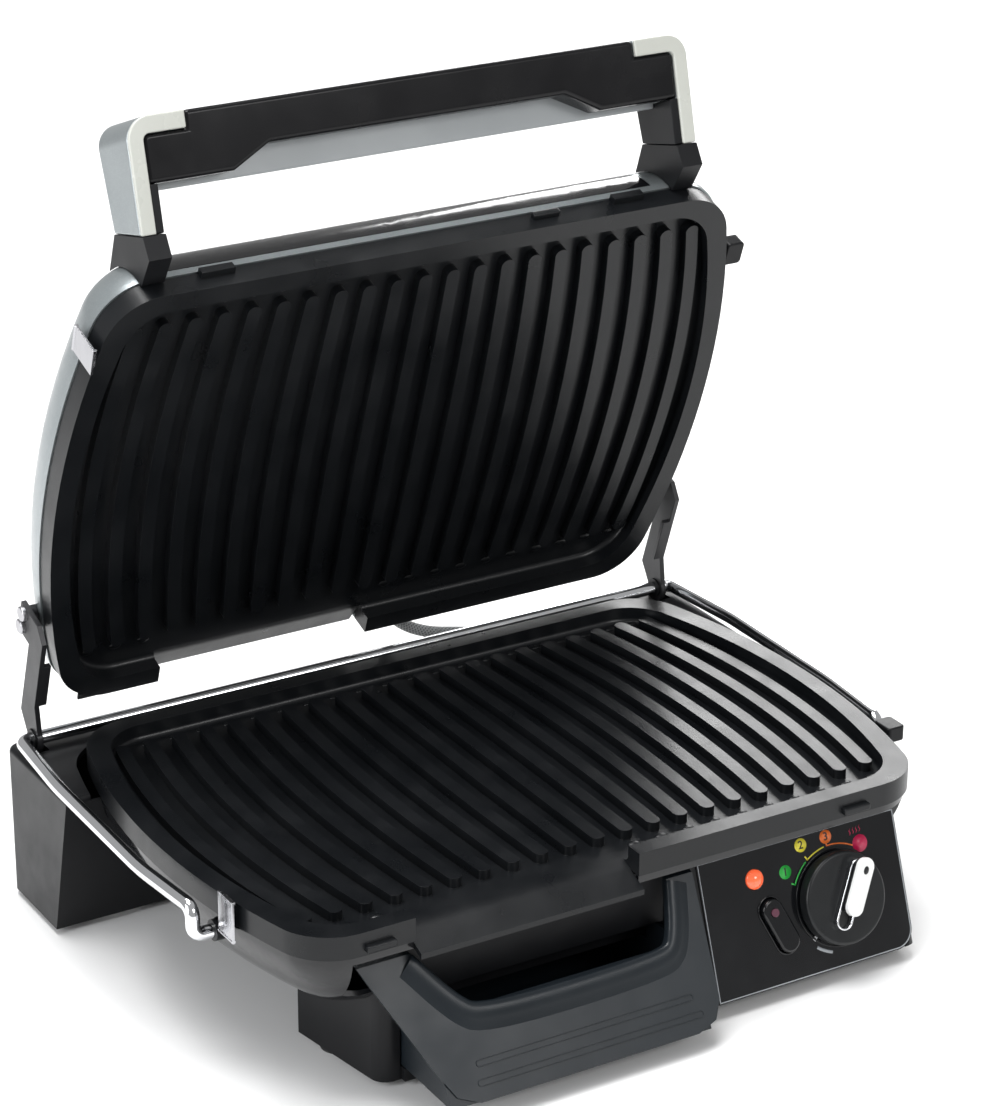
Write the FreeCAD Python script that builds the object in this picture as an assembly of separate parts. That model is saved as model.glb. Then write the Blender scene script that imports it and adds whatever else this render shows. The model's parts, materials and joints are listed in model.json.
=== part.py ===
import FreeCAD, Part
import math
import os

# Contact grill with a floating lid.  Millimetres.
# X runs along the width (right), Y runs from the front to the back, Z is up.
# Drawn on the table about the middle of the lower cooking plate; every piece is then moved
# so that the origin is under the middle of the whole grill.
# The lid is modelled closed and then turned open about the rear cross rod.

V = FreeCAD.Vector

# ---- cooking plates -------------------------------------------------------
plate_width = 343.0        # across the middle of the barrel-shaped plate
plate_depth = 230.0        # front to back
side_bulge = 18.5          # how far the curved sides stand out at mid depth
plate_corner_r = 27.0
corner_share = 0.4         # how fast the corners tighten as the outline shrinks
plate_skirt = 11.0         # outer skirt, from the crest of the rim down
plate_wall = 2.6           # cast thickness of floor and skirt
rim_width = 9.0            # flat crest of the rim
basin_depth = 8.0          # crest down to the cooking floor
rib_count = 21
rib_margin = 18.5          # outermost rib's middle to the plate's widest point
rib_width = 6.6
rib_height = 4.6
rib_front_set = 26.0       # rib ends to the plate's edge, spout side
rib_back_set = 18.0
rib_root = 0.5             # how far a rib reaches into the floor it is cast with
basin_fillet = 3.0
spout_left_x = -107.0
spout_right_x = 3.0
spout_reach = 4.5          # how far the spout lip stands out of the skirt
spout_drop = 4.0           # lip below the foot of the skirt
spout_level = 5.0          # level run before the spout slopes down
spout_floor_extra = 0.6    # the spout's floor is a little thicker
lug_width = 16.0
lug_reach = 3.0
lug_x = 104.0
lug_height = 4.0

# ---- heights and hinge ----------------------------------------------------
crest_z = 86.0             # crest of the lower plate above the table
closed_gap = 0.8           # crest to crest with the lid shut
lid_open_deg = 70.7        # lid opening in the rest pose
cross_rod_set = 11.7       # cross rod behind the plates' back edge
cross_rod_drop = 5.0       # and under the lower crest
bail_pivot_y = -50.0
bail_pivot_drop = 20.0
rod_r = 3.2
rod_bend_r = 5.0
rod_side_set = 6.3         # side rods outside the plates' widest point
rod_bow = 4.0              # how far the side rods bow out at mid length
rod_bow_r = 150.0
rod_stub = 26.0            # pivot stub that enters the casing
socket_set = 9.0           # side run to the outer end of its bush
socket_length = 12.0
socket_wall = 1.5
rod_top_drop = 6.5         # side runs under the crest, near the front
rod_front_run = 42.0       # from the pivot to where the side rods are widest
rod_back_run = 50.0        # from there on they run in to the cross rod

# ---- clearances and walls ---------------------------------------------------
shell_wall = 2.2
housing_wall = 2.6
seat_gap = 0.5             # between a plate's skirt and the rim it sits over
part_gap = 0.35            # between neighbouring moulded parts
run_gap = 0.05             # radial, running fits
slide_gap = 0.8            # around the drip tray
fit_gap = 0.05             # between pieces screwed or snapped together
shaft_gap = 0.02           # radial, push fit of the dial on its shaft
lug_gap = 1.0              # round the lugs and the bracket eyes

# ---- base -------------------------------------------------------------------
casing_drop = 50.0         # bowl floor under the crest
casing_steps = ((22.0, -3.0), (38.0, -13.0), (50.0, -31.0))  # drop under the crest, growth
casing_rim_grow = -1.0
stand_side_set = 10.0      # stand's ends outside the plates' widest point
stand_drop = 9.5           # stand's top under the crest
stand_top_set = 46.0       # front of the stand inside the plates' back edge, at its top
stand_foot_set = 27.0      # and at its foot
stand_back_set = 22.0      # back of the stand behind the plates
stand_corner_r = 6.0
stand_top_r = 2.5
stand_sole = 5.0           # the stand is open underneath up to here
foot_height = 3.0
foot_r = 8.0
rear_foot_x = 150.0
rear_foot_set = 7.0
front_feet_x = (-116.0, 138.0)
front_feet_y = -62.0
housing_back_y = -48.0
housing_left_back_x = -128.0
housing_left_front_x = -112.0
housing_left_set = 11.0    # the housing stands back to the left of the tray
housing_right_front_x = 146.5
housing_right_back_x = 150.0
housing_front_set = 25.0   # side walls are measured this far in front of the plates
housing_top_gap = 2.0      # housing top under the bowl's rim
housing_corner_r = 8.0
housing_tuck = 14.0        # how far the foot of the leaning front tucks under
notch_left_x = -136.0
notch_right_x = 152.0
notch_set = 12.0           # the bowl's front wall is cut away this far behind the plate's edge
notch_drop = 15.0
cover_inset = 6.0          # bottom cover inside the housing's side wall
cover_front_y = -118.0
control_wall_x = 28.0      # partition between the drip tray and the controls
housing_lip_z = 8.0        # the leaning front ends here and tucks under
panel_lean_deg = 20.0      # the front leans forward at its foot
panel_set = 7.0            # front surface behind the plate's edge, at its datum
panel_drop = 21.0          # datum under the crest
panel_left_x = 37.6
panel_right_x = 144.5
panel_top = 3.0            # panel edges, measured up the leaning face
panel_bottom = -61.0
panel_thick = 2.5
panel_corner_r = 9.0

# ---- controls, in panel coordinates ----------------------------------------
dial_x = 108.0
dial_v = -29.4
dial_r = 21.2
dial_gap = 0.5
dial_height = 6.5
dial_edge_r = 1.5
dial_bore = 5.5
pointer_tilt_deg = 29.0
pointer_tip = 19.6         # from the dial centre to the pointing end
pointer_tail = 14.5
pointer_tail_slope = 5.3   # how much shorter the tail is on top
pointer_width = 8.6
pointer_height = 9.0
shaft_r = 3.0
shaft_length = 17.0
shaft_engagement = 5.0
shaft_hole_gap = 1.0
thermostat_size = 26.0
thermostat_depth = 14.0
thermostat_corner_r = 3.0
behind_gap = 0.3           # between the panel and what sits behind it
lamp_x = 66.2
lamp_v = -11.0
lamp_r = 4.4
lamp_gap = 0.15
lamp_stem = 2.4
lamp_rim = 0.6
lamp_body_r = 3.4
lamp_body_length = 5.5
switch_x = 74.7
switch_v = -34.0
switch_tilt_deg = 22.0
switch_length = 27.0
switch_width = 10.6
switch_proud = 3.2
switch_sink = 5.0
switch_edge_r = 1.2
switch_lamp_reach = 7.2    # lamp window from the rocker's middle
switch_lamp_r = 1.9
switch_lamp_thick = 1.2
switch_lamp_sunk = 0.7
switch_frame_depth = 14.0
switch_frame_margin = 3.5
switch_travel = 3.2        # room under the rocker
switch_well_gap = 0.8

# ---- drip tray --------------------------------------------------------------
tray_left_x = -108.0
tray_right_x = 22.0
tray_back_y = -56.0
tray_floor_z = 10.0
tray_wall = 2.0
tray_rim_z = 31.0
tray_step_set = 19.0       # the trough's front wall rises here, behind the plate's edge
bay_wall = 2.4             # wall behind the mouth of the bay
tray_lip_set = 4.5
tray_lip_drop = 19.0
tray_lip_slope = 0.64      # forward run per unit of fall of the front flange
tray_lip_bottom_z = 10.0
tray_lip_right_x = 33.7
tray_lip_left_x = -133.0
tray_lip_foot = ((-110.5, 24.0), (-104.0, 14.0), (-94.0, 10.0), (15.0, 10.0), (25.0, 13.0), (29.5, 20.0))
tray_lip_thick = 3.0
tray_mouth_left_x = -82.0
tray_mouth_right_x = 13.5
tray_mouth_cut = 4.0       # corners of the opening
tray_mouth_left_lean = 1.0
tray_mouth_right_lean = 0.26
tray_mouth_z = 42.0        # lower edge of the opening in the flange

# ---- lid ----------------------------------------------------------------------
lid_profile = ((0.4, 0.6), (12.0, -0.8), (25.0, -8.0), (34.0, -22.0), (38.5, -44.0))  # above the skirt, growth
lid_lip = 3.6              # silver edge left under the black front cover
cover_left_set = 47.5      # black front cover, ends inside the plates' widest point
cover_right_set = 50.5
cover_depth = 53.0         # and its back edge behind the front one
frame_inset = 7.0
frame_thick = 3.0
frame_height = 14.0

# ---- handle ----------------------------------------------------------------------
# Drawn in its own frame: X across, U up the arms, N towards the cooking side.
handle_foot_set = 7.0      # start of the arms, in front of the lid's front edge
handle_foot_rise = 38.0    # and above the upper crest
handle_lean_deg = 40.5     # arms, measured from the lid's plane
arm_side_set = 32.0        # arms inside the plates' widest point
arm_side = 6.8             # width of the arm covers across X
liner_thick = 4.0
arm_top = 45.5             # U at the top of the shoulder
arm_depth_foot = 29.4      # N at the foot of the arms
arm_depth_top = 35.0
shoulder_drop = 7.5        # depth of the shoulder above the grip
shoulder_reach = 27.0      # how far the shoulder runs inwards
shoulder_r = 10.0
trim_thick = 2.4
arm_inner_r = 3.0
arm_foot_line = ((0.05, -1.0), (-4.05, 29.4), (-6.0, 70.0))  # U and N where the arms meet their feet
foot_profile = ((-18.0, 13.0), (-18.0, 38.0), (6.6, 38.0), (22.6, 13.0), (16.0, 5.0), (3.0, 8.0))
grip_bottom = 17.0
grip_back = 12.5
grip_front_set = 1.0       # how far the grip sits behind the trims
grip_waist_half = 74.0
grip_waist_slant = 20.0
grip_waist_rise = 9.5
grip_back_thick = 3.5
grip_back_drop = 2.5
grip_corner_r = 3.2
grip_gap = 0.1
handle_screw_r = 2.4
handle_screw_head = 1.6
handle_screw_heights = (6.0, 16.0)

# ---- hinge brackets --------------------------------------------------------------
bracket_side_set = 0.9     # bracket's middle inside the plates' widest point
bracket_thick = 2.5
bracket_eye_r = 6.6
bracket_low = -3.5         # lower and upper edge above the upper crest
bracket_high = 9.5
bracket_reach = 50.0       # forward from the hinge edge
bracket_head_back = 34.0
bracket_head_high = 21.5
bracket_flange = 6.0
bracket_flange_reach = 30.0
bracket_slope = 6.0        # its front end and its root slope by this much
boss_r = 3.2
boss_length = 12.0
boss_half_pitch = 3.8
boss_rise = 17.5           # above the upper crest
bush_wall = 1.5
bush_length = 4.2

# ---- heaters, lead and small parts ------------------------------------------------
heater_r = 3.2
heater_gap = 0.8
reflector_thick = 0.8
reflector_depth = 12.0
reflector_grow = (-14.0, -22.0)
heater_leg_x = 26.0
heater_side_set = 53.5     # inner side runs inside the plates' widest point
heater_loop = 18.0         # inner to outer side run
heater_depth_set = 43.0    # front and back runs inside the plate's edge
heater_leg_set = 34.0
heater_tail_set = 27.0
heater_bend_r = 8.0
fuse_r = 3.5
fuse_length = 24.0
fuse_spot = (-60.0, 15.0)
fuse_rise = 12.0
upper_fuse_rise = 36.0
terminal_half = 30.0
terminal_depth = 14.0
terminal_height = 12.0
terminal_set = 60.0
terminal_bores = (-20.0, 0.0, 20.0)
terminal_bore_r = 1.6
gland_x = 60.0
gland_z = 26.0
gland_r = 6.5
gland_length = 14.0
gland_collar = 2.5
gland_bore_r = 3.4
lead_r = 3.0
lead_bend_share = 0.45     # part of the shorter run that each bend takes up
lead_split = 54.0          # the lead's two lengths meet at this X
lead_route = ((26.0, 18.9, 20.5), (28.0, 21.8, 7.0), (46.0, 22.8, -5.5), (72.0, 20.3, -10.5),
              (96.0, 12.3, -13.0), (104.0, 1.3, -15.0))  # X, then Y and Z from the cross rod
screw_head_r = 3.6
screw_head = 2.0
screw_edge_r = 0.8
sole_screw_r = 3.0
sole_screw_head = 1.6

# ---- clips and release tabs ---------------------------------------------------------
clip_width = 13.0
clip_thick = 1.2
clip_gap = 1.0
clip_foot = 5.0            # clip's curled foot beyond the foot of the skirt
clip_eye_r = 1.0
clip_rise = 2.6            # clip's top above the crest
clip_lip_share = 0.4
clip_y = -63.5
upper_clip_y = -88.0
tab_width = 12.0
tab_length = 9.5
tab_height = 7.5
tab_corner_r = 2.0
tab_y = -66.0
upper_tab_y = -75.0
upper_tab_rise = 3.4

# ---- derived ------------------------------------------------------------------------
past = 300.0               # cutting tools reach this far beyond the grill
clear = 1.0                # and overlap the face they cut by this much
socket_r = rod_r + run_gap + socket_wall
bush_r = rod_r + run_gap + bush_wall
plate_half_x = plate_width / 2
plate_half_y = plate_depth / 2
rib_pitch = 2 * (plate_half_x - rib_margin) / (rib_count - 1)
rib_front_y = rib_front_set - plate_half_y
rib_back_y = plate_half_y - rib_back_set
cross_rod_y = plate_half_y + cross_rod_set
cross_rod_z = crest_z - cross_rod_drop
bail_pivot_z = crest_z - bail_pivot_drop
rod_side_x = plate_half_x + rod_side_set
rod_top_z = crest_z - rod_top_drop
casing_rim_z = crest_z - plate_skirt - seat_gap
casing_floor_z = crest_z - casing_drop
casing_inside_z = casing_floor_z + shell_wall
stand_half_x = plate_half_x + stand_side_set
stand_top_z = crest_z - stand_drop
stand_front_top_y = plate_half_y - stand_top_set
stand_front_foot_y = plate_half_y - stand_foot_set
stand_back_y = plate_half_y + stand_back_set
housing_left_front_y = housing_left_set - plate_half_y
housing_front_y = -plate_half_y - housing_front_set
housing_top_z = casing_rim_z - housing_top_gap
notch_y = notch_set - plate_half_y
notch_top_z = crest_z - notch_drop
panel_y = panel_set - plate_half_y
panel_z = crest_z - panel_drop
tray_step_y = tray_step_set - plate_half_y
tray_lip_top_y = tray_lip_set - plate_half_y
tray_lip_top_z = crest_z - tray_lip_drop
clip_drop = plate_skirt + clip_foot
lid_sections = [(plate_skirt + rise, grow) for rise, grow in lid_profile]
cover_left_x = cover_left_set - plate_half_x
cover_right_x = plate_half_x - cover_right_set
cover_back_y = cover_depth - plate_half_y
arm_outer_x = plate_half_x - arm_side_set
bracket_x = plate_half_x - bracket_side_set
lid_crest_z = crest_z + closed_gap
floor_top = -basin_depth
floor_under = -basin_depth - plate_wall
cover_plan = (panel_left_x + 4.0, housing_right_front_x - cover_inset, cover_front_y, housing_back_y - 4.0)
hinge = V(0, cross_rod_y, cross_rod_z)
X_AXIS = V(1, 0, 0)
Y_AXIS = V(0, 1, 0)
Z_AXIS = V(0, 0, 1)


# ---- helpers ------------------------------------------------------------------
def box(x0, x1, y0, y1, z0, z1):
    return Part.makeBox(x1 - x0, y1 - y0, z1 - z0, V(x0, y0, z0))


def rod(radius, length, base, axis=Z_AXIS):
    return Part.makeCylinder(radius, length, base, axis)


def fused(shapes):
    whole = shapes[0]
    for shape in shapes[1:]:
        whole = whole.fuse(shape)
    return whole.removeSplitter()


def group(shapes):
    return Part.makeCompound(shapes)


def yz_prism(points, x0, x1):
    """Outline in the Y-Z plane, drawn out along X."""
    corners = [V(x0, y, z) for y, z in points]
    face = Part.Face(Part.makePolygon(corners + corners[:1]))
    return face.extrude(V(x1 - x0, 0, 0))


def xz_prism(points):
    """Outline in the X-Z plane, drawn out along Y through the front of the grill."""
    corners = [V(x, -past, z) for x, z in points]
    face = Part.Face(Part.makePolygon(corners + corners[:1]))
    return face.extrude(V(0, past, 0))


def xy_prism(points, z0, z1):
    corners = [V(x, y, z0) for x, y in points]
    face = Part.Face(Part.makePolygon(corners + corners[:1]))
    return face.extrude(V(0, 0, z1 - z0))


def edges_where(shape, test):
    return [edge for edge in shape.Edges if test(edge)]


def at_height(z):
    """Test for edges whose middle lies at height z."""
    return lambda edge: abs(edge.CenterOfMass.z - z) < 1e-6


def edges_along(shape, axis, test=lambda middle: True):
    """Straight edges of a shape that run along an axis and pass a test on their middle."""
    found = []
    for edge in shape.Edges:
        if len(edge.Vertexes) < 2:
            continue
        run = edge.Vertexes[1].Point - edge.Vertexes[0].Point
        straight = abs(run.Length - edge.Length) < 1e-4
        if straight and run.Length > 1e-6 and abs(abs(run.normalize().dot(axis)) - 1) < 1e-6:
            middle = edge.CenterOfMass
            if test(middle):
                found.append(edge)
    return found


def rounded(shape, radius, axis, test=lambda middle: True):
    return shape.makeFillet(radius, edges_along(shape, axis, test))


def mirrored(shape):
    return shape.mirror(V(0, 0, 0), X_AXIS)


def both_sides(shape):
    return group([shape, mirrored(shape)])


def barrel(grow, z0, z1):
    """Prism with the plates' plan outline, grown outwards by grow."""
    middle = plate_width / 2 + grow
    end = middle - side_bulge
    half = plate_half_y + grow
    edges = [
        Part.LineSegment(V(-end, -half, z0), V(end, -half, z0)).toShape(),
        Part.Arc(V(end, -half, z0), V(middle, 0, z0), V(end, half, z0)).toShape(),
        Part.LineSegment(V(end, half, z0), V(-end, half, z0)).toShape(),
        Part.Arc(V(-end, half, z0), V(-middle, 0, z0), V(-end, -half, z0)).toShape(),
    ]
    prism = Part.Face(Part.Wire(edges)).extrude(V(0, 0, z1 - z0))
    return rounded(prism, plate_corner_r + corner_share * grow, Z_AXIS)


def barrel_wire(grow, z):
    flat = [face for face in barrel(grow, z, z + 1).Faces if abs(face.CenterOfMass.z - z) < 1e-6]
    return flat[0].OuterWire


def bowl(sections):
    """Closed solid through plate outlines; sections are (height, growth) pairs."""
    wires = [barrel_wire(grow, z) for z, grow in sections]
    return Part.makeLoft(wires, True, False)


def round_path(points, radii):
    """Wire of straight runs joined by tangent arcs at the inner points."""
    edges = []
    start = points[0]
    for index, radius in enumerate(radii, 1):
        corner = points[index]
        back = (points[index - 1] - corner).normalize()
        ahead = (points[index + 1] - corner).normalize()
        turn = math.pi - back.getAngle(ahead)
        setback = radius * math.tan(turn / 2)
        first = corner + back * setback
        last = corner + ahead * setback
        inward = (back + ahead).normalize()
        middle = corner + inward * (radius / math.cos(turn / 2) - radius)
        edges.append(Part.LineSegment(start, first).toShape())
        edges.append(Part.Arc(first, middle, last).toShape())
        start = last
    edges.append(Part.LineSegment(start, points[-1]).toShape())
    return Part.Wire(edges)


def tube(points, radii, radius):
    path = round_path(points, radii)
    run = (points[1] - points[0]).normalize()
    circle = Part.Wire(Part.makeCircle(radius, points[0], run))
    return path.makePipeShell([circle], True, True)


def opened(shape):
    """Turns a lid part from closed to the rest opening."""
    turned = shape.copy()
    turned.rotate(hinge, X_AXIS, -lid_open_deg)
    return turned


def closed(shape):
    """Takes a shape at the rest opening back to the closed lid."""
    turned = shape.copy()
    turned.rotate(hinge, X_AXIS, lid_open_deg)
    return turned


def on_panel(shape):
    """Places a shape drawn on the panel: X across, Y up the face, Z out of it."""
    placed = shape.copy()
    placed.rotate(V(0, 0, 0), X_AXIS, 90 - panel_lean_deg)
    placed.translate(V(0, panel_y, panel_z))
    return placed


def panel_depth_y(z):
    return panel_y - (panel_z - z) * math.tan(math.radians(panel_lean_deg))


# ---- cooking plates --------------------------------------------------------------
def rib(mid_x):
    """One rib: bowed bar with rounded ends, following the plate's side curve."""
    bow = side_bulge / plate_half_x
    half = rib_width / 2

    def at(y, side):
        share = 1 - bow * (y / plate_half_y) ** 2
        return V(mid_x * share + side * half, y, floor_top - rib_root)

    y0 = rib_front_y + half
    y1 = rib_back_y - half
    sides = []
    for side in (-1, 1):
        ends = (at(y0, side), at(y1, side))
        if abs(mid_x) < 1:
            sides.append(Part.LineSegment(*ends).toShape())
        else:
            sides.append(Part.Arc(ends[0], at(0, side), ends[1]).toShape())
    caps = []
    for y, way in ((y0, -1), (y1, 1)):
        tip = at(y, 0) + V(0, way * half, 0)
        caps.append(Part.Arc(at(y, -1), tip, at(y, 1)).toShape())
    outline = Part.Wire(Part.sortEdges(sides + caps)[0])
    return Part.Face(outline).extrude(V(0, 0, rib_height + rib_root))


def spout():
    """Sloping lip that runs out of the front of the basin."""
    lip_y = -plate_half_y - spout_reach
    back_y = -plate_half_y + 2 * rim_width
    lip_z = -plate_skirt - spout_drop
    under_z = floor_under - spout_floor_extra
    outline = ((back_y, floor_top), (back_y - spout_level, floor_top), (lip_y, lip_z),
               (lip_y, lip_z - plate_wall), (back_y - spout_level, under_z), (back_y, under_z))
    return yz_prism(outline, spout_left_x, spout_right_x)


def spout_hole(gap):
    """What the pieces round the spout leave free for it and for the drippings."""
    front_y = -plate_half_y - spout_reach - gap
    back_y = -plate_half_y + 2 * rim_width + gap
    low_z = -plate_skirt - spout_drop - plate_wall - gap
    under_z = floor_under - spout_floor_extra - gap
    outline = ((back_y, clear), (front_y, clear), (front_y, low_z),
               (back_y - gap - spout_level, under_z), (back_y, under_z))
    return yz_prism(outline, spout_left_x - gap, spout_right_x + gap)


def plate():
    """Cooking plate, crest at z = 0, spout to the front."""
    blank = barrel(0, -plate_skirt, 0)
    hollow = barrel(-plate_wall, -plate_skirt - clear, floor_under)
    basin = barrel(-rim_width, floor_top, clear)
    tray = blank.cut(hollow).cut(basin)
    tray = tray.makeFillet(basin_fillet, edges_where(tray, at_height(floor_top)))
    mouth_back = -plate_half_y + 2 * rim_width - spout_level / 2
    mouth = box(spout_left_x, spout_right_x, -plate_half_y - clear, mouth_back, -plate_skirt - clear, clear)
    tray = tray.cut(mouth)
    first = -(rib_count - 1) / 2
    ribs = [rib((first + index) * rib_pitch) for index in range(rib_count)]
    lugs = []
    for x in (-lug_x, lug_x):
        lugs.append(box(x - lug_width / 2, x + lug_width / 2, plate_half_y - plate_wall / 2,
                        plate_half_y + lug_reach, -plate_skirt, -plate_skirt + lug_height))
    return fused([tray, spout()] + ribs + lugs)


def lower_plate():
    placed = plate()
    placed.translate(V(0, 0, crest_z))
    return placed


def upper_plate():
    placed = plate()
    placed.rotate(V(0, 0, 0), X_AXIS, 180)
    placed.translate(V(0, 0, lid_crest_z))
    return placed


# ---- base --------------------------------------------------------------------------
def casing_solid(extra):
    """Outside of the bowl, grown by extra."""
    sections = [(casing_rim_z + extra, casing_rim_grow + extra)]
    sections += [(crest_z - drop + extra, grow + extra) for drop, grow in casing_steps[:-1]]
    sections.append((casing_floor_z - extra, casing_steps[-1][1] + extra))
    return bowl(sections)


def casing_cavity():
    sections = [(casing_rim_z + clear, casing_rim_grow - shell_wall)]
    sections += [(crest_z - drop, grow - shell_wall) for drop, grow in casing_steps[:-1]]
    sections.append((casing_inside_z, casing_steps[-1][1] - shell_wall))
    return bowl(sections)


def lower_spout_hole():
    mouth = spout_hole(seat_gap)
    mouth.translate(V(0, 0, crest_z))
    return mouth


def lower_casing():
    shell = casing_solid(0).cut(casing_cavity()).cut(lower_spout_hole())
    socket_holes = rod(socket_r, 2 * past, V(-past, bail_pivot_y, bail_pivot_z), X_AXIS)
    return shell.cut(socket_holes).cut(front_notch(0))


def front_notch(gap):
    """Where the front housing replaces the bowl's front wall."""
    return box(notch_left_x + gap, notch_right_x - gap, -past, notch_y - gap, 0, notch_top_z - gap)


def stand_profile(inset):
    top = stand_top_z - inset
    slope = (stand_front_foot_y - stand_front_top_y) / stand_top_z
    foot_y = stand_front_foot_y - slope * foot_height
    return ((stand_front_top_y + inset, top), (foot_y + inset, foot_height),
            (stand_back_y - inset, foot_height), (stand_back_y - inset, top))


def stand_hollow():
    """Inside of the stand, open underneath."""
    end = stand_half_x - housing_wall
    front_y = stand_front_foot_y + housing_wall - clear
    room = yz_prism(stand_profile(housing_wall), -end, end)
    opening = box(-end, end, front_y, stand_back_y - housing_wall, 0, stand_sole)
    return room.fuse(opening)


def rear_stand():
    outer = yz_prism(stand_profile(0), -stand_half_x, stand_half_x)
    outer = rounded(outer, stand_corner_r, Z_AXIS)
    outer = outer.makeFillet(stand_top_r, edges_where(outer, at_height(stand_top_z)))
    shell = outer.cut(stand_hollow()).cut(casing_solid(part_gap))
    shell = shell.cut(barrel(lug_reach + lug_gap, casing_rim_z - clear, crest_z))
    for x in (-bracket_x, bracket_x):
        start = V(x - bush_length, cross_rod_y, cross_rod_z)
        shell = shell.cut(rod(bracket_eye_r + lug_gap, 2 * bush_length, start, X_AXIS))
    gland_start = V(gland_x, stand_back_y - gland_length / 2, gland_z)
    gland_hole = rod(gland_r + run_gap, gland_length, gland_start, Y_AXIS)
    return shell.cut(gland_hole).cut(lead_tube(lead_r + part_gap))


def housing_plan(inset):
    back_y = housing_back_y - inset
    return ((housing_left_back_x + inset, back_y), (housing_left_front_x + inset, housing_front_y),
            (housing_right_front_x - inset, housing_front_y), (housing_right_back_x - inset, back_y))


def housing_side(inset):
    low = foot_height + inset
    high = housing_top_z - inset
    lean = inset / math.cos(math.radians(panel_lean_deg))
    lip = housing_lip_z + inset
    back_y = housing_back_y - inset
    return ((back_y, low), (panel_depth_y(lip) + housing_tuck + inset, low),
            (panel_depth_y(lip) + lean, lip), (panel_depth_y(high) + lean, high), (back_y, high))


def housing_block(inset):
    return xy_prism(housing_plan(inset), 0, crest_z).common(yz_prism(housing_side(inset), -past, past))


def tray_bay():
    """Space for the drip tray in the front housing, open to the front and to the spout."""
    left = tray_left_x - slide_gap
    right = tray_right_x + slide_gap
    low = box(left, right, -past, tray_back_y + slide_gap, tray_floor_z - slide_gap, tray_rim_z + 2 * slide_gap)
    high = box(left, right, -past, notch_y - part_gap - bay_wall, tray_floor_z, past)
    step = box(left, right, -past, tray_step_y + slide_gap, tray_floor_z, tray_mouth_z + 2 * slide_gap)
    arms_back = tray_lip_top_y + tray_lip_thick + slide_gap
    arms = box(-past, tray_lip_right_x + slide_gap, -past, arms_back, 0, past)
    return fused([low, high, step, arms])


def base_housing():
    block = housing_block(0)
    block = block.cut(box(-past, tray_left_x, -past, housing_left_front_y, 0, past))
    side_x_min = -housing_left_front_x - clear
    block = rounded_tall_corners(block, side_x_min)
    block = block.cut(casing_solid(part_gap).cut(front_notch(part_gap))).cut(tray_bay())
    control_room = housing_block(housing_wall).common(box(control_wall_x, past, -past, 0, 0, past))
    left, right, front, back = cover_plan
    sole = box(left, right, front, back, 0, stand_sole + housing_wall)
    recess = on_panel(fascia_blank(part_gap, -panel_thick - part_gap, past))
    chute = box(tray_left_x - slide_gap, tray_right_x + slide_gap, -past, cover_front_y, 0, tray_floor_z)
    return block.cut(control_room).cut(sole).cut(recess).cut(chute).cut(lower_spout_hole())


def rounded_tall_corners(block, beyond_x):
    """Rounds the housing's two tall front corners."""
    def tall_front(edge):
        bounds = edge.BoundBox
        tall = bounds.ZLength > tray_rim_z
        return tall and bounds.YMax < housing_left_front_y + clear and abs(edge.CenterOfMass.x) > beyond_x

    return block.makeFillet(housing_corner_r, edges_where(block, tall_front))


def bottom_cover():
    left, right, front, back = cover_plan
    return box(left + part_gap, right - part_gap, front + part_gap, back - part_gap,
               foot_height, foot_height + housing_wall - part_gap)


def fascia_blank(grow, w0, w1):
    x0 = panel_left_x - grow
    x1 = panel_right_x + grow
    v0 = panel_bottom - grow
    v1 = panel_top + grow
    blank = box(x0, x1, v0, v1, w0, w1)
    return rounded(blank, panel_corner_r, Z_AXIS, lambda m: m.x > x1 - clear and m.y < v0 + clear)


def switch_pill(grow_length, grow_width, w0, w1):
    """Round-ended bar with the rocker's outline, grown by the given amounts on each side."""
    half = switch_width / 2 + grow_width
    reach = switch_length / 2 + grow_length - half
    body = box(-half, half, -reach, reach, w0, w1)
    ends = [rod(half, w1 - w0, V(0, way * reach, w0)) for way in (-1, 1)]
    shape = fused([body] + ends)
    shape.rotate(V(0, 0, 0), Z_AXIS, switch_tilt_deg)
    shape.translate(V(switch_x, switch_v, 0))
    return shape


def control_fascia():
    blank = fascia_blank(0, -panel_thick, 0)
    under = -panel_thick - clear
    through = panel_thick + 2 * clear
    blank = blank.cut(rod(shaft_r + shaft_hole_gap, through, V(dial_x, dial_v, under)))
    blank = blank.cut(rod(lamp_r + lamp_gap, through, V(lamp_x, lamp_v, under)))
    hole = switch_pill(part_gap, part_gap, under, clear)
    return on_panel(blank.cut(hole))


def lamp_lens():
    stem = rod(lamp_r, lamp_stem + lamp_rim, V(lamp_x, lamp_v, -lamp_stem))
    ball_r = lamp_r * 1.25
    ball = Part.makeSphere(ball_r, V(lamp_x, lamp_v, lamp_rim - lamp_r * 0.75))
    dome = ball.common(rod(lamp_r, ball_r, V(lamp_x, lamp_v, lamp_rim / 2)))
    return on_panel(fused([stem, dome]))


def lamp_body():
    foot = -panel_thick - behind_gap - lamp_body_length
    return on_panel(rod(lamp_body_r, lamp_body_length, V(lamp_x, lamp_v, foot)))


def switch_lamp_spot(height):
    """Middle of the small window in the upper end of the rocker."""
    tilt = math.radians(switch_tilt_deg)
    x = switch_x - switch_lamp_reach * math.sin(tilt)
    return V(x, switch_v + switch_lamp_reach * math.cos(tilt), height)


def switch_rocker():
    body = switch_pill(0, 0, -switch_sink, switch_proud)
    body = body.makeFillet(switch_edge_r, edges_where(body, at_height(switch_proud)))
    window_foot = switch_proud - switch_lamp_sunk - fit_gap
    window = rod(switch_lamp_r + fit_gap, switch_proud, switch_lamp_spot(window_foot))
    return on_panel(body.cut(window))


def switch_lamp():
    return on_panel(rod(switch_lamp_r, switch_lamp_thick, switch_lamp_spot(switch_proud - switch_lamp_sunk)))


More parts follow.
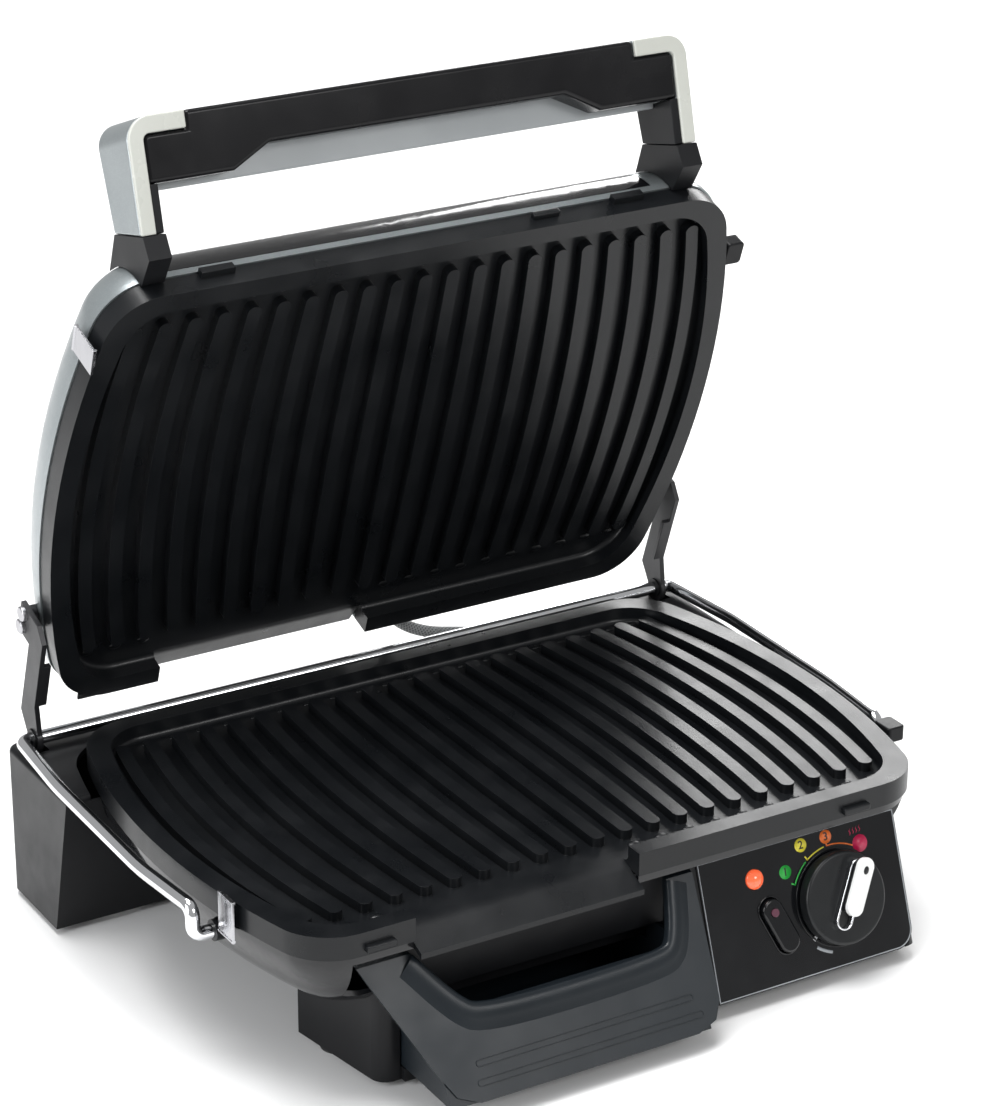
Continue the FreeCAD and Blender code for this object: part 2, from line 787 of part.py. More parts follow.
def switch_frame():
    top = -panel_thick - behind_gap
    outer = switch_pill(switch_frame_margin, switch_frame_margin, top - switch_frame_depth, top)
    well = switch_pill(switch_well_gap, switch_well_gap, -switch_sink - switch_travel, 0)
    return on_panel(outer.cut(well))


def dial():
    disc = rod(dial_r, dial_height, V(dial_x, dial_v, dial_gap))
    disc = disc.makeFillet(dial_edge_r, edges_where(disc, at_height(dial_gap + dial_height)))
    return on_panel(disc.cut(rod(shaft_r, dial_bore, V(dial_x, dial_v, 0))))


def dial_pointer():
    """Bar across the dial: round ends, the tail shorter on top than at its foot."""
    foot = dial_gap + dial_height
    half = pointer_width / 2
    body = box(-half, half, -pointer_tail + half, pointer_tip - half, foot, foot + pointer_height)
    ends = [rod(half, pointer_height, V(0, v, foot)) for v in (-pointer_tail + half, pointer_tip - half)]
    bar = fused([body] + ends)
    top = foot + pointer_height
    behind = -pointer_tail - clear
    wedge = ((behind, foot), (-pointer_tail, foot), (-pointer_tail + pointer_tail_slope, top),
             (-pointer_tail + pointer_tail_slope, top + clear), (behind, top + clear))
    bar = bar.cut(yz_prism(wedge, -pointer_width, pointer_width))
    bar.rotate(V(0, 0, 0), Z_AXIS, -pointer_tilt_deg)
    bar.translate(V(dial_x, dial_v, 0))
    return on_panel(bar)


def dial_shaft():
    foot = dial_gap + shaft_engagement - shaft_length
    return on_panel(rod(shaft_r - shaft_gap, shaft_length, V(dial_x, dial_v, foot)))


def thermostat():
    half = thermostat_size / 2
    top = -panel_thick - behind_gap
    body = box(dial_x - half, dial_x + half, dial_v - half, dial_v + half, top - thermostat_depth, top)
    body = rounded(body, thermostat_corner_r, Z_AXIS)
    bore = rod(shaft_r + run_gap, 2 * thermostat_depth, V(dial_x, dial_v, -2 * thermostat_depth))
    return on_panel(body.cut(bore))


def feet():
    rear_y = plate_half_y - rear_foot_set
    spots = [(-rear_foot_x, rear_y), (rear_foot_x, rear_y)]
    spots += [(x, front_feet_y) for x in front_feet_x]
    return group([rod(foot_r, foot_height, V(x, y, 0)) for x, y in spots])


def bottom_screws():
    left, right, front, back = cover_plan
    heads = []
    for x in (left + 2 * sole_screw_r, right - 8 * sole_screw_r):
        for y in (front + 2 * sole_screw_r, back - 2 * sole_screw_r):
            heads.append(rod(sole_screw_r, sole_screw_head, V(x, y, foot_height - sole_screw_head)))
    return group(heads)


# ---- drip tray ------------------------------------------------------------------------
def tray_lip_y(z):
    return tray_lip_top_y - (tray_lip_top_z - z) * tray_lip_slope


def tray_flange():
    """Slanting U-shaped front with two arms and a broad lower lip."""
    z0 = tray_lip_bottom_z
    z1 = tray_lip_top_z
    side = ((tray_lip_y(z0), z0), (tray_lip_y(z1), z1),
            (tray_lip_y(z1) + tray_lip_thick, z1), (tray_lip_y(z0) + tray_lip_thick, z0))
    slab = yz_prism(side, -past, past)
    outline = ((tray_lip_left_x, z1),) + tray_lip_foot + ((tray_lip_right_x, z1),)
    return slab.common(xz_prism(outline)).cut(xz_prism(tray_mouth_outline()))


def tray_mouth_outline():
    """The opening in the front flange, between its two arms."""
    top = tray_lip_top_z + clear
    rise = top - tray_mouth_z
    left_top = tray_mouth_left_x - tray_mouth_left_lean * rise
    right_top = tray_mouth_right_x + tray_mouth_right_lean * rise
    return ((left_top, top), (tray_mouth_left_x - 2 * tray_mouth_cut, tray_mouth_z + tray_mouth_cut),
            (tray_mouth_left_x, tray_mouth_z), (tray_mouth_right_x - tray_mouth_cut, tray_mouth_z),
            (tray_mouth_right_x, tray_mouth_z + tray_mouth_cut), (right_top, top))


def drip_tray():
    w = tray_wall
    low_y = tray_lip_y(tray_floor_z) + tray_lip_thick / 3
    high_y = tray_lip_y(tray_mouth_z) + tray_lip_thick / 3
    over = tray_mouth_z + clear
    side = ((tray_back_y, tray_floor_z), (low_y, tray_floor_z), (high_y, tray_mouth_z),
            (tray_step_y, tray_mouth_z), (tray_step_y, tray_rim_z), (tray_back_y, tray_rim_z))
    hollow = ((tray_back_y - w, tray_floor_z + w), (low_y + 1.5 * w, tray_floor_z + w),
              (high_y + 1.5 * w, over), (tray_back_y - w, over))
    trough = yz_prism(side, tray_left_x, tray_right_x).cut(yz_prism(hollow, tray_left_x + w, tray_right_x - w))
    return fused([trough, tray_flange()])


# ---- chrome bail -----------------------------------------------------------------------
def bail_rod():
    """Chrome rod: two side runs joined by the cross rod that carries the lid."""
    x = rod_side_x
    bow_x = x + rod_bow
    points = [V(-x + rod_stub, bail_pivot_y, bail_pivot_z), V(-x, bail_pivot_y, bail_pivot_z),
              V(-x, bail_pivot_y, rod_top_z), V(-bow_x, bail_pivot_y + rod_front_run, rod_top_z),
              V(-bow_x, cross_rod_y - rod_back_run, cross_rod_z), V(-x, cross_rod_y, cross_rod_z),
              V(0, cross_rod_y, cross_rod_z)]
    left = tube(points, [rod_bend_r, rod_bend_r, rod_bow_r, rod_bow_r, rod_bend_r], rod_r)
    return fused([left, mirrored(left)])


def rod_sockets():
    """Bushes in the casing wall that the bail's stubs turn in."""
    start = V(-rod_side_x + socket_set, bail_pivot_y, bail_pivot_z)
    blank = rod(socket_r, socket_length, start, X_AXIS)
    bore = rod(rod_r + run_gap, 3 * socket_length, start - X_AXIS * socket_length, X_AXIS)
    return both_sides(blank.cut(bore))


def hinge_bushes():
    start = V(-bracket_x - bush_length / 2, cross_rod_y, cross_rod_z)
    outer = rod(bush_r, bush_length, start, X_AXIS)
    return both_sides(outer.cut(rod(rod_r + run_gap, 3 * bush_length, start - X_AXIS * bush_length, X_AXIS)))


def bracket_boss_points():
    z = lid_crest_z + boss_rise
    middle = plate_half_y - (bracket_reach + bracket_head_back) / 2
    return [(middle + offset, z) for offset in (-boss_half_pitch, boss_half_pitch)]


def hinge_bracket():
    """Left steel arm from the cross rod to the side of the lid, drawn with the lid closed."""
    x0 = -bracket_x - bracket_thick / 2
    x1 = x0 + bracket_thick
    base = V(x0, cross_rod_y, cross_rod_z)
    eye = rod(bracket_eye_r, bracket_thick, base, X_AXIS)
    low = lid_crest_z + bracket_low
    high = lid_crest_z + bracket_high
    front = plate_half_y - bracket_reach
    head_back = plate_half_y - bracket_head_back
    top = lid_crest_z + bracket_head_high
    slope = bracket_slope
    outline = ((cross_rod_y, cross_rod_z - bracket_eye_r), (cross_rod_y + bracket_eye_r, cross_rod_z),
               (plate_half_y + slope, high), (head_back, high), (head_back, top), (front, top),
               (front, high - slope), (front + slope, low), (plate_half_y - slope, low))
    arm = yz_prism(outline, x0, x1)
    flange = box(x0, x0 + bracket_flange, plate_half_y - bracket_flange_reach, plate_half_y - slope,
                 low, low + bracket_thick)
    bore = rod(bush_r, 3 * bracket_thick, base - X_AXIS * bracket_thick, X_AXIS)
    root = x1 - bracket_thick / 4
    bosses = [rod(boss_r, boss_length, V(root, y, z), X_AXIS) for y, z in bracket_boss_points()]
    return fused([eye, arm, flange] + bosses).cut(bore).cut(lid_dome(fit_gap))


def bracket_screws():
    """Pan heads on the outside of both brackets."""
    x = -bracket_x - bracket_thick / 2 - screw_head
    heads = []
    for y, z in bracket_boss_points():
        head = rod(screw_head_r, screw_head, V(x, y, z), X_AXIS)
        rim = edges_where(head, lambda edge: abs(edge.CenterOfMass.x - x) < 1e-6)
        heads.append(head.makeFillet(screw_edge_r, rim))
    return both_sides(group(heads))


# ---- lid ---------------------------------------------------------------------------------
def lid_dome(extra):
    """Outside of the lid, grown by extra."""
    low, low_grow = lid_sections[0]
    sections = [(lid_crest_z + low, low_grow + extra)]
    sections += [(lid_crest_z + dz + extra, grow + extra) for dz, grow in lid_sections[1:]]
    return bowl(sections)


def lid_cavity():
    """Inside of the lid; only its two top sections sink by the wall."""
    low, low_grow = lid_sections[0]
    sections = [(lid_crest_z + low - clear, low_grow - shell_wall)]
    sections += [(lid_crest_z + dz, grow - shell_wall) for dz, grow in lid_sections[1:-2]]
    sections += [(lid_crest_z + dz - shell_wall, grow - shell_wall) for dz, grow in lid_sections[-2:]]
    return bowl(sections)


def cover_window(gap):
    low = lid_crest_z + lid_sections[0][0] + lid_lip + gap
    return box(cover_left_x + gap, cover_right_x - gap, -past, cover_back_y - gap, low, past)


def spout_room():
    """Clearance for the upper plate's spout, with the lid closed."""
    room = spout_hole(seat_gap)
    room.rotate(V(0, 0, 0), X_AXIS, 180)
    room.translate(V(0, 0, lid_crest_z))
    return room


def lid_shell():
    skin = lid_dome(0).cut(lid_cavity()).cut(cover_window(0)).cut(spout_room())
    return skin.cut(closed(lead_tube(lead_r + part_gap)))


def lid_front_cover():
    skin = lid_dome(0).cut(lid_cavity())
    return skin.common(cover_window(part_gap))


def lid_frame():
    z0 = lid_crest_z + plate_skirt + seat_gap
    ring = barrel(-frame_inset, z0, z0 + frame_height)
    inside = barrel(-frame_inset - frame_thick, z0 - clear, z0 + frame_height + clear)
    return ring.cut(inside).cut(spout_room())


# ---- heaters ---------------------------------------------------------------------------------
def heater_at(z):
    """Tubular element: one flat loop whose two tails run back to the terminals."""
    inner = plate_half_x - heater_side_set
    outer = inner + heater_loop
    edge = plate_half_y - heater_depth_set
    fold = heater_leg_set - edge
    tail = plate_half_y - heater_tail_set
    half = [(heater_leg_x, tail), (heater_leg_x, fold), (inner, fold),
            (inner, edge), (outer, edge), (outer, -edge)]
    route = half + [(-x, y) for x, y in reversed(half)]
    points = [V(x, y, z) for x, y in route]
    return tube(points, [heater_bend_r] * (len(points) - 2), heater_r)


def reflector_at(z, way):
    """Shallow sheet pan behind the heater; way is +1 when it opens upwards."""
    rim, floor = reflector_grow
    sheet = reflector_thick
    outer = bowl([(z, rim), (z - way * reflector_depth, floor)])
    inner = bowl([(z + way * fit_gap, rim - sheet), (z - way * (reflector_depth - sheet), floor - sheet)])
    return outer.cut(inner)


def lower_heater():
    return heater_at(crest_z + floor_under - heater_gap - heater_r)


def lower_reflector():
    return reflector_at(crest_z + floor_under - heater_gap, 1)


def upper_heater():
    return heater_at(lid_crest_z - floor_under + heater_gap + heater_r)


def upper_reflector():
    return reflector_at(lid_crest_z - floor_under + heater_gap, -1)


def thermal_fuse(z):
    x, y = fuse_spot
    return rod(fuse_r, fuse_length, V(x, y, z), X_AXIS)


def terminal_block():
    low = casing_inside_z + part_gap
    front = plate_half_y - terminal_set
    block = box(-terminal_half, terminal_half, front, front + terminal_depth, low, low + terminal_height)
    spot_y = front + terminal_depth / 2
    bore_z = low + terminal_height / 3
    bores = [rod(terminal_bore_r, terminal_height, V(x, spot_y, bore_z)) for x in terminal_bores]
    return block.cut(group(bores))


def cord_gland():
    back = stand_back_y + gland_collar
    sleeve = rod(gland_r, gland_length, V(gland_x, back - gland_length, gland_z), Y_AXIS)
    collar = rod(gland_r + gland_collar, gland_collar, V(gland_x, stand_back_y, gland_z), Y_AXIS)
    bore = rod(gland_bore_r, 2 * gland_length, V(gland_x, back - 1.5 * gland_length, gland_z), Y_AXIS)
    return fused([sleeve, collar]).cut(bore)


# ---- clips ---------------------------------------------------------------------------------------
def side_x(y):
    """Half width of the plate outline at a given y."""
    radius = (plate_half_y ** 2 + side_bulge ** 2) / (2 * side_bulge)
    return plate_half_x - radius + math.sqrt(radius ** 2 - y ** 2)


def clip_at(y, z, way):
    """Spring clip on the left side: a bent strip with a curled foot; its lip stands at the rim edge."""
    half = clip_width / 2
    x = -side_x(abs(y) - half) - clip_gap
    foot = z - way * clip_drop
    tip = z + way * clip_rise
    strip = box(x - clip_thick, x, y - half, y + half, min(foot, tip), max(foot, tip))
    roof = tip - way * clip_thick
    lip = box(x - clip_thick, x + clip_gap - part_gap, y - half, y + half * clip_lip_share,
              min(roof, tip), max(roof, tip))
    eye = rod(clip_eye_r, clip_width, V(x - clip_thick / 2, y - half, foot), Y_AXIS)
    return fused([strip, lip, eye])


def tab_at(y, z0):
    """Release tab on the right side."""
    half = tab_width / 2
    x = side_x(abs(y) - half) + clip_gap
    stem = box(x, x + tab_length, y - half, y + half, z0, z0 + tab_height)
    return rounded(stem, tab_corner_r, Z_AXIS)


# ---- handle --------------------------------------------------------------------------
def lid_point(forward, rise):
    """Y and Z of a point given from the closed lid's front edge and from its crest."""
    return (-plate_half_y - forward, lid_crest_z + rise)


def on_handle(shape):
    """Places a shape drawn in the handle's frame: X across, U up the arms, N forward."""
    placed = shape.copy()
    placed.rotate(V(0, 0, 0), X_AXIS, 180 - handle_lean_deg)
    y, z = lid_point(handle_foot_set, handle_foot_rise)
    placed.translate(V(0, y, z))
    return placed


def front_n(u):
    """N of the arms' front face at height u."""
    return arm_depth_foot + (arm_depth_top - arm_depth_foot) * u / arm_top


def side_slab(back, front_set):
    """Slab between two N depths; the front follows the arms, set back by front_set."""
    low = -shoulder_r
    high = arm_top + clear
    corners = [V(-past, low, back), V(-past, high, back), V(-past, high, front_n(high) - front_set),
               V(-past, low, front_n(low) - front_set)]
    return Part.Face(Part.makePolygon(corners + corners[:1])).extrude(V(2 * past, 0, 0))


def arm_frame():
    """Left arm and its shoulder, seen from the front: an L with a round outer corner."""
    x0 = -arm_outer_x
    x1 = x0 + arm_side
    end = x0 + shoulder_reach
    drop = arm_top - shoulder_drop
    low = -shoulder_r
    blank = xy_prism(((x0, low), (x0, arm_top), (end, arm_top), (end, drop), (x1, drop), (x1, low)),
                     -clear, 2 * arm_depth_top)
    blank = rounded(blank, shoulder_r, Z_AXIS, lambda m: m.x < x0 + clear and m.y > arm_top - clear)
    return rounded(blank, arm_inner_r, Z_AXIS, lambda m: abs(m.x - x1) < clear and abs(m.y - drop) < clear)


def arms_above_feet(shape):
    """Trims the arms to the line where they meet their feet."""
    over = ((2 * arm_top, 2 * arm_depth_top), (2 * arm_top, -clear))
    corners = [V(-past, u, n) for u, n in arm_foot_line + over]
    return shape.common(Part.Face(Part.makePolygon(corners + corners[:1])).extrude(V(2 * past, 0, 0)))


def handle_covers():
    blank = arm_frame().common(side_slab(0, trim_thick + fit_gap))
    return both_sides(on_handle(arms_above_feet(blank)))


def handle_trims():
    blank = arm_frame().common(side_slab(0, 0)).cut(side_slab(-clear, trim_thick))
    return both_sides(on_handle(arms_above_feet(blank)))


def handle_liners():
    """Black strips on the inner faces of the arms, below the grip."""
    inner = arm_side - arm_outer_x
    strip = box(inner + fit_gap, inner + liner_thick, -shoulder_r, grip_bottom - grip_gap, 0, past)
    return both_sides(on_handle(arms_above_feet(strip.common(side_slab(0, grip_front_set)))))


def handle_feet():
    x0 = -arm_outer_x
    foot = yz_prism([lid_point(*pair) for pair in foot_profile], x0, x0 + arm_side + liner_thick)
    low, low_grow = lid_sections[0]
    lid_edge = barrel(low_grow, lid_crest_z, lid_crest_z + low + seat_gap)
    return both_sides(foot.cut(lid_dome(part_gap)).cut(lid_edge))


def handle_grip():
    """Black bar between the arms; its ends tuck under the shoulders and its waist is slim."""
    end = arm_outer_x - arm_side - fit_gap
    notch = arm_outer_x - shoulder_reach - grip_gap
    top = arm_top - shoulder_drop - grip_gap
    low = box(-end, end, grip_bottom, top, 0, past)
    low = rounded(low, grip_corner_r, Z_AXIS, lambda m: m.y > top - clear)
    high = box(-notch, notch, grip_bottom, arm_top, 0, past)
    slant = grip_waist_half + grip_waist_slant
    foot = grip_bottom - clear
    waist_u = grip_bottom + grip_waist_rise
    waist = xy_prism(((-slant, foot), (-grip_waist_half, waist_u), (grip_waist_half, waist_u), (slant, foot)),
                     -clear, past)
    slab = side_slab(grip_back + grip_back_thick + grip_gap, grip_front_set)
    return on_handle(fused([low, high]).cut(waist).common(slab))


def grip_rear_cover():
    """Light strip behind the grip, facing the lid."""
    end = arm_outer_x - arm_side - liner_thick - grip_gap
    return on_handle(box(-end, end, grip_bottom - grip_back_drop, arm_top - 2 * shoulder_drop,
                         grip_back, grip_back + grip_back_thick))


def handle_screws():
    """Heads on the back of the arms that draw the covers to the feet."""
    heads = []
    for side in (-1, 1):
        x = side * (arm_outer_x - arm_side / 2)
        for u in handle_screw_heights:
            heads.append(rod(handle_screw_r, handle_screw_head, V(x, u, -handle_screw_head)))
    return on_handle(group(heads))


# ---- lead between base and lid --------------------------------------------------------------------------
def lead_tube(radius):
    """Flexible lead from the lid over the cross rod into the stand, bent as far as its runs allow."""
    points = [V(x, cross_rod_y + y, cross_rod_z + z) for x, y, z in lead_route]
    radii = []
    for before, corner, after in zip(points, points[1:], points[2:]):
        turn = math.pi - (before - corner).getAngle(after - corner)
        shorter = min((before - corner).Length, (after - corner).Length)
        radii.append(lead_bend_share * shorter / math.tan(turn / 2))
    return tube(points, radii, radius)


def lead_half(side):
    """The lead in two lengths that meet end to end; side is -1 for the lid's length."""
    low, high = sorted((lead_split, side * past))
    return lead_tube(lead_r).common(box(low, high, -past, past, -past, past))


nodes = {
    "lower_casing": lower_casing,
    "rear_stand": rear_stand,
    "base_housing": base_housing,
    "bottom_cover": bottom_cover,
    "bottom_screws": bottom_screws,
    "feet": feet,
    "control_fascia": control_fascia,
    "lamp_lens": lamp_lens,
    "lamp_body": lamp_body,
    "switch_rocker": switch_rocker,
    "switch_lamp": switch_lamp,
    "switch_frame": switch_frame,
    "dial": dial,
    "dial_pointer": dial_pointer,
    "dial_shaft": dial_shaft,
    "thermostat": thermostat,
    "drip_tray": drip_tray,
    "bail_rod": bail_rod,
    "rod_sockets": rod_sockets,
    "lower_plate": lower_plate,
    "lower_heater": lower_heater,
    "lower_reflector": lower_reflector,
    "lower_thermal_fuse": lambda: thermal_fuse(casing_floor_z + fuse_rise),
    "terminal_block": terminal_block,
    "cord_gland": cord_gland,
    "lower_clip": lambda: clip_at(clip_y, crest_z, 1),
    "lower_release_tab": lambda: tab_at(tab_y, crest_z - tab_height),
    "lead_lower": lambda: lead_half(1),
    "lead_upper": lambda: lead_half(-1),
}
lid_nodes = {
    "upper_plate": upper_plate,
    "lid_shell": lid_shell,
    "lid_front_cover": lid_front_cover,
    "lid_frame": lid_frame,
    "upper_heater": upper_heater,
    "upper_reflector": upper_reflector,
    "upper_thermal_fuse": lambda: thermal_fuse(lid_crest_z + upper_fuse_rise),
    "hinge_bushes": hinge_bushes,
    "left_hinge_bracket": hinge_bracket,
    "right_hinge_bracket": lambda: mirrored(hinge_bracket()),
    "bracket_screws": bracket_screws,
    "handle_covers": handle_covers,
    "handle_trims": handle_trims,
    "handle_liners": handle_liners,
    "handle_feet": handle_feet,
    "handle_screws": handle_screws,
    "handle_grip": handle_grip,
    "grip_rear_cover": grip_rear_cover,
    "upper_clip": lambda: clip_at(upper_clip_y, lid_crest_z, -1),
    "upper_release_tab": lambda: tab_at(upper_tab_y, lid_crest_z + upper_tab_rise),
}

shapes = {name: make() for name, make in nodes.items()}
shapes.update({name: opened(make()) for name, make in lid_nodes.items()})
extent = group(list(shapes.values())).optimalBoundingBox(False, False)
to_origin = V(-extent.Center.x, -extent.Center.y, 0)

os.makedirs("parts", exist_ok=True)
for name, shape in shapes.items():
    shape.translate(to_origin)
    shape.exportStep("parts/" + name + ".step")
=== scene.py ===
import json
from math import cos, pi, radians, sin, sqrt

import bmesh
import bpy
from mathutils import Matrix, Vector

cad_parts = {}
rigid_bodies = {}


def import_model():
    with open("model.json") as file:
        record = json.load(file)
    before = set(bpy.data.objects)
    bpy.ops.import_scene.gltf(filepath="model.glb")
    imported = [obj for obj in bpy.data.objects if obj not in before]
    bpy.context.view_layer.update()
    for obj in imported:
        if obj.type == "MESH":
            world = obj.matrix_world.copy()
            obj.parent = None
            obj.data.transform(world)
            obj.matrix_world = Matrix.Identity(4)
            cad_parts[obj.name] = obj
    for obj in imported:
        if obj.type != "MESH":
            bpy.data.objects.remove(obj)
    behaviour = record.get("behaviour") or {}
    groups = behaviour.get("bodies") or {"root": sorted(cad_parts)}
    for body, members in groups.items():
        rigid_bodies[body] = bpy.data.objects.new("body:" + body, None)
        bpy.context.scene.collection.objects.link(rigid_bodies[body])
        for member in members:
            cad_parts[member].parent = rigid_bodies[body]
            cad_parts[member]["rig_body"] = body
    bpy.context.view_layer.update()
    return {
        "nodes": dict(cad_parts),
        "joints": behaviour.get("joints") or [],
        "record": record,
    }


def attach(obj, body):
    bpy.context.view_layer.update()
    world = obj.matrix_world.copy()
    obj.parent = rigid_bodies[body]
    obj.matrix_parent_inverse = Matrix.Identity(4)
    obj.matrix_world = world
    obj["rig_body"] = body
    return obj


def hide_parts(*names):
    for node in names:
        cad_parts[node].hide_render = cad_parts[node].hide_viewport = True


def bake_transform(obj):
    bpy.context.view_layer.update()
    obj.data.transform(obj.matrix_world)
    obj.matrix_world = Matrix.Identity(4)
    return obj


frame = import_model()
mm = 0.001

joints = {joint["name"]: joint for joint in frame["joints"]}
slotOf = {part["node"]: part["material_slot"] for part in frame["record"]["subparts"]}
hinge = Vector(joints["lid_swing"]["pos_m"])
restOpening = radians(-joints["lid_swing"]["range_deg"][0])  # how far the lid stands open at rest
print("frame loaded:", len(frame["nodes"]), "nodes")


def newGroup(name, inputs, outputs):
    tree = bpy.data.node_groups.new(name, "ShaderNodeTree")
    for label, kind, value in inputs:
        socket = tree.interface.new_socket(name=label, in_out="INPUT", socket_type=kind)
        socket.default_value = value
    for label, kind in outputs:
        tree.interface.new_socket(name=label, in_out="OUTPUT", socket_type=kind)
    return tree, tree.nodes.new("NodeGroupInput"), tree.nodes.new("NodeGroupOutput")


def addNode(tree, kind, **settings):
    node = tree.nodes.new(kind)
    for name, value in settings.items():
        setattr(node, name, value)
    return node


def objectPlace(tree):
    return addNode(tree, "ShaderNodeTexCoord").outputs["Object"]


def noiseNode(tree, source, scale, detail):
    node = addNode(tree, "ShaderNodeTexNoise")
    node.inputs["Detail"].default_value = detail
    tree.links.new(source, node.inputs["Vector"])
    if isinstance(scale, (int, float)):
        node.inputs["Scale"].default_value = scale
    else:
        tree.links.new(scale, node.inputs["Scale"])
    return node.outputs["Fac"]


def rampRange(tree, source, low, high, outLow, outHigh):
    node = addNode(tree, "ShaderNodeMapRange")
    tree.links.new(source, node.inputs["Value"])
    for label, value in (("From Min", low), ("From Max", high), ("To Min", outLow), ("To Max", outHigh)):
        if isinstance(value, (int, float)):
            node.inputs[label].default_value = value
        else:
            tree.links.new(value, node.inputs[label])
    return node.outputs["Result"]


def mathNode(tree, operation, *sources):
    node = addNode(tree, "ShaderNodeMath", operation=operation)
    for index, source in enumerate(sources):
        tree.links.new(source, node.inputs[index])
    return node.outputs[0]


def mixColors(tree, share, first, second):
    node = addNode(tree, "ShaderNodeMix", data_type="RGBA")
    for label, source in (("Factor", share), ("A", first), ("B", second)):
        tree.links.new(source, node.inputs[label])
    return node.outputs["Result"]


def giveOut(tree, out, sources):
    for label, source in sources.items():
        tree.links.new(source, out.inputs[label])
    return tree


def buildFinishGroup():  # colour drift, smudged roughness and a fine grain for any solid finish
    tree, given, out = newGroup("handledFinish", (
        ("Base", "NodeSocketColor", (0.1, 0.1, 0.1, 1)), ("Tint", "NodeSocketColor", (0.1, 0.1, 0.1, 1)),
        ("Grain", "NodeSocketFloat", 900.0), ("Smudge", "NodeSocketFloat", 22.0),
        ("Rough Low", "NodeSocketFloat", 0.3), ("Rough High", "NodeSocketFloat", 0.4)),
        (("Color", "NodeSocketColor"), ("Roughness", "NodeSocketFloat"), ("Height", "NodeSocketFloat")))
    place = objectPlace(tree)
    drift = noiseNode(tree, place, given.outputs["Smudge"], 4.0)
    wipe = noiseNode(tree, place, 61.0, 6.0)
    grain = noiseNode(tree, place, given.outputs["Grain"], 2.0)
    share = rampRange(tree, drift, 0.35, 0.65, 0.0, 1.0)
    color = mixColors(tree, share, given.outputs["Base"], given.outputs["Tint"])
    smudge = mathNode(tree, "MULTIPLY", drift, wipe)
    rough = rampRange(tree, smudge, 0.12, 0.4, given.outputs["Rough Low"], given.outputs["Rough High"])
    return giveOut(tree, out, {"Color": color, "Roughness": rough, "Height": grain})


def buildSpeckleGroup():  # tiny pale specks, as in a sprayed non-stick coat or metallic paint
    tree, given, out = newGroup("fineSpecks", (
        ("Color", "NodeSocketColor", (0.1, 0.1, 0.1, 1)), ("Speck", "NodeSocketColor", (0.3, 0.3, 0.3, 1)),
        ("Size", "NodeSocketFloat", 1500.0), ("Amount", "NodeSocketFloat", 0.1)),
        (("Color", "NodeSocketColor"), ("Mask", "NodeSocketFloat")))
    cells = addNode(tree, "ShaderNodeTexVoronoi")
    tree.links.new(objectPlace(tree), cells.inputs["Vector"])
    tree.links.new(given.outputs["Size"], cells.inputs["Scale"])
    mask = rampRange(tree, cells.outputs["Distance"], 0.0, given.outputs["Amount"], 1.0, 0.0)
    return giveOut(tree, out, {
        "Color": mixColors(tree, mask, given.outputs["Color"], given.outputs["Speck"]), "Mask": mask})


def buildBrushGroup():  # long fine lines left by rolling or brushing along one axis
    tree, given, out = newGroup("brushedLines", (
        ("Stretch", "NodeSocketVector", (3.0, 900.0, 900.0)), ("Rough Low", "NodeSocketFloat", 0.2),
        ("Rough High", "NodeSocketFloat", 0.4)),
        (("Roughness", "NodeSocketFloat"), ("Height", "NodeSocketFloat")))
    scaled = addNode(tree, "ShaderNodeVectorMath", operation="MULTIPLY")
    tree.links.new(objectPlace(tree), scaled.inputs[0])
    tree.links.new(given.outputs["Stretch"], scaled.inputs[1])
    lines = noiseNode(tree, scaled.outputs["Vector"], 1.0, 3.0)
    rough = rampRange(tree, lines, 0.3, 0.7, given.outputs["Rough Low"], given.outputs["Rough High"])
    return giveOut(tree, out, {"Roughness": rough, "Height": lines})


def buildBraidGroup():  # two sets of strands that cross over a round sleeve, from its UV map
    tree, given, out = newGroup("braidedSleeve", (
        ("Strand", "NodeSocketColor", (0.5, 0.5, 0.5, 1)), ("Gap", "NodeSocketColor", (0.1, 0.1, 0.1, 1)),
        ("Pitch", "NodeSocketFloat", 60.0)),
        (("Color", "NodeSocketColor"), ("Height", "NodeSocketFloat")))
    split = addNode(tree, "ShaderNodeSeparateXYZ")
    tree.links.new(addNode(tree, "ShaderNodeUVMap").outputs["UV"], split.inputs[0])
    waves = []
    for way in ("ADD", "SUBTRACT"):
        cross = mathNode(tree, way, split.outputs["X"], split.outputs["Y"])
        spread = mathNode(tree, "MULTIPLY", cross, given.outputs["Pitch"])
        waves.append(rampRange(tree, mathNode(tree, "SINE", spread), -1.0, 1.0, 0.0, 1.0))
    top = mathNode(tree, "MAXIMUM", *waves)
    return giveOut(tree, out, {
        "Color": mixColors(tree, top, given.outputs["Gap"], given.outputs["Strand"]), "Height": top})


finishGroup = buildFinishGroup()
speckleGroup = buildSpeckleGroup()
brushGroup = buildBrushGroup()
braidGroup = buildBraidGroup()
print("shader groups ready")


def placeGroup(tree, group, values):
    node = tree.nodes.new("ShaderNodeGroup")
    node.node_tree = group
    for label, value in values.items():
        node.inputs[label].default_value = value
    return node


def rgba(color):
    return (*color, 1.0)


def newMaterial(name):
    material = bpy.data.materials.new(name)
    material.use_nodes = True
    return material, material.node_tree, material.node_tree.nodes["Principled BSDF"]


def addRelief(tree, shader, height, strength, distance):
    relief = addNode(tree, "ShaderNodeBump")
    relief.inputs["Strength"].default_value = strength
    relief.inputs["Distance"].default_value = distance
    tree.links.new(height, relief.inputs["Height"])
    tree.links.new(relief.outputs["Normal"], shader.inputs["Normal"])


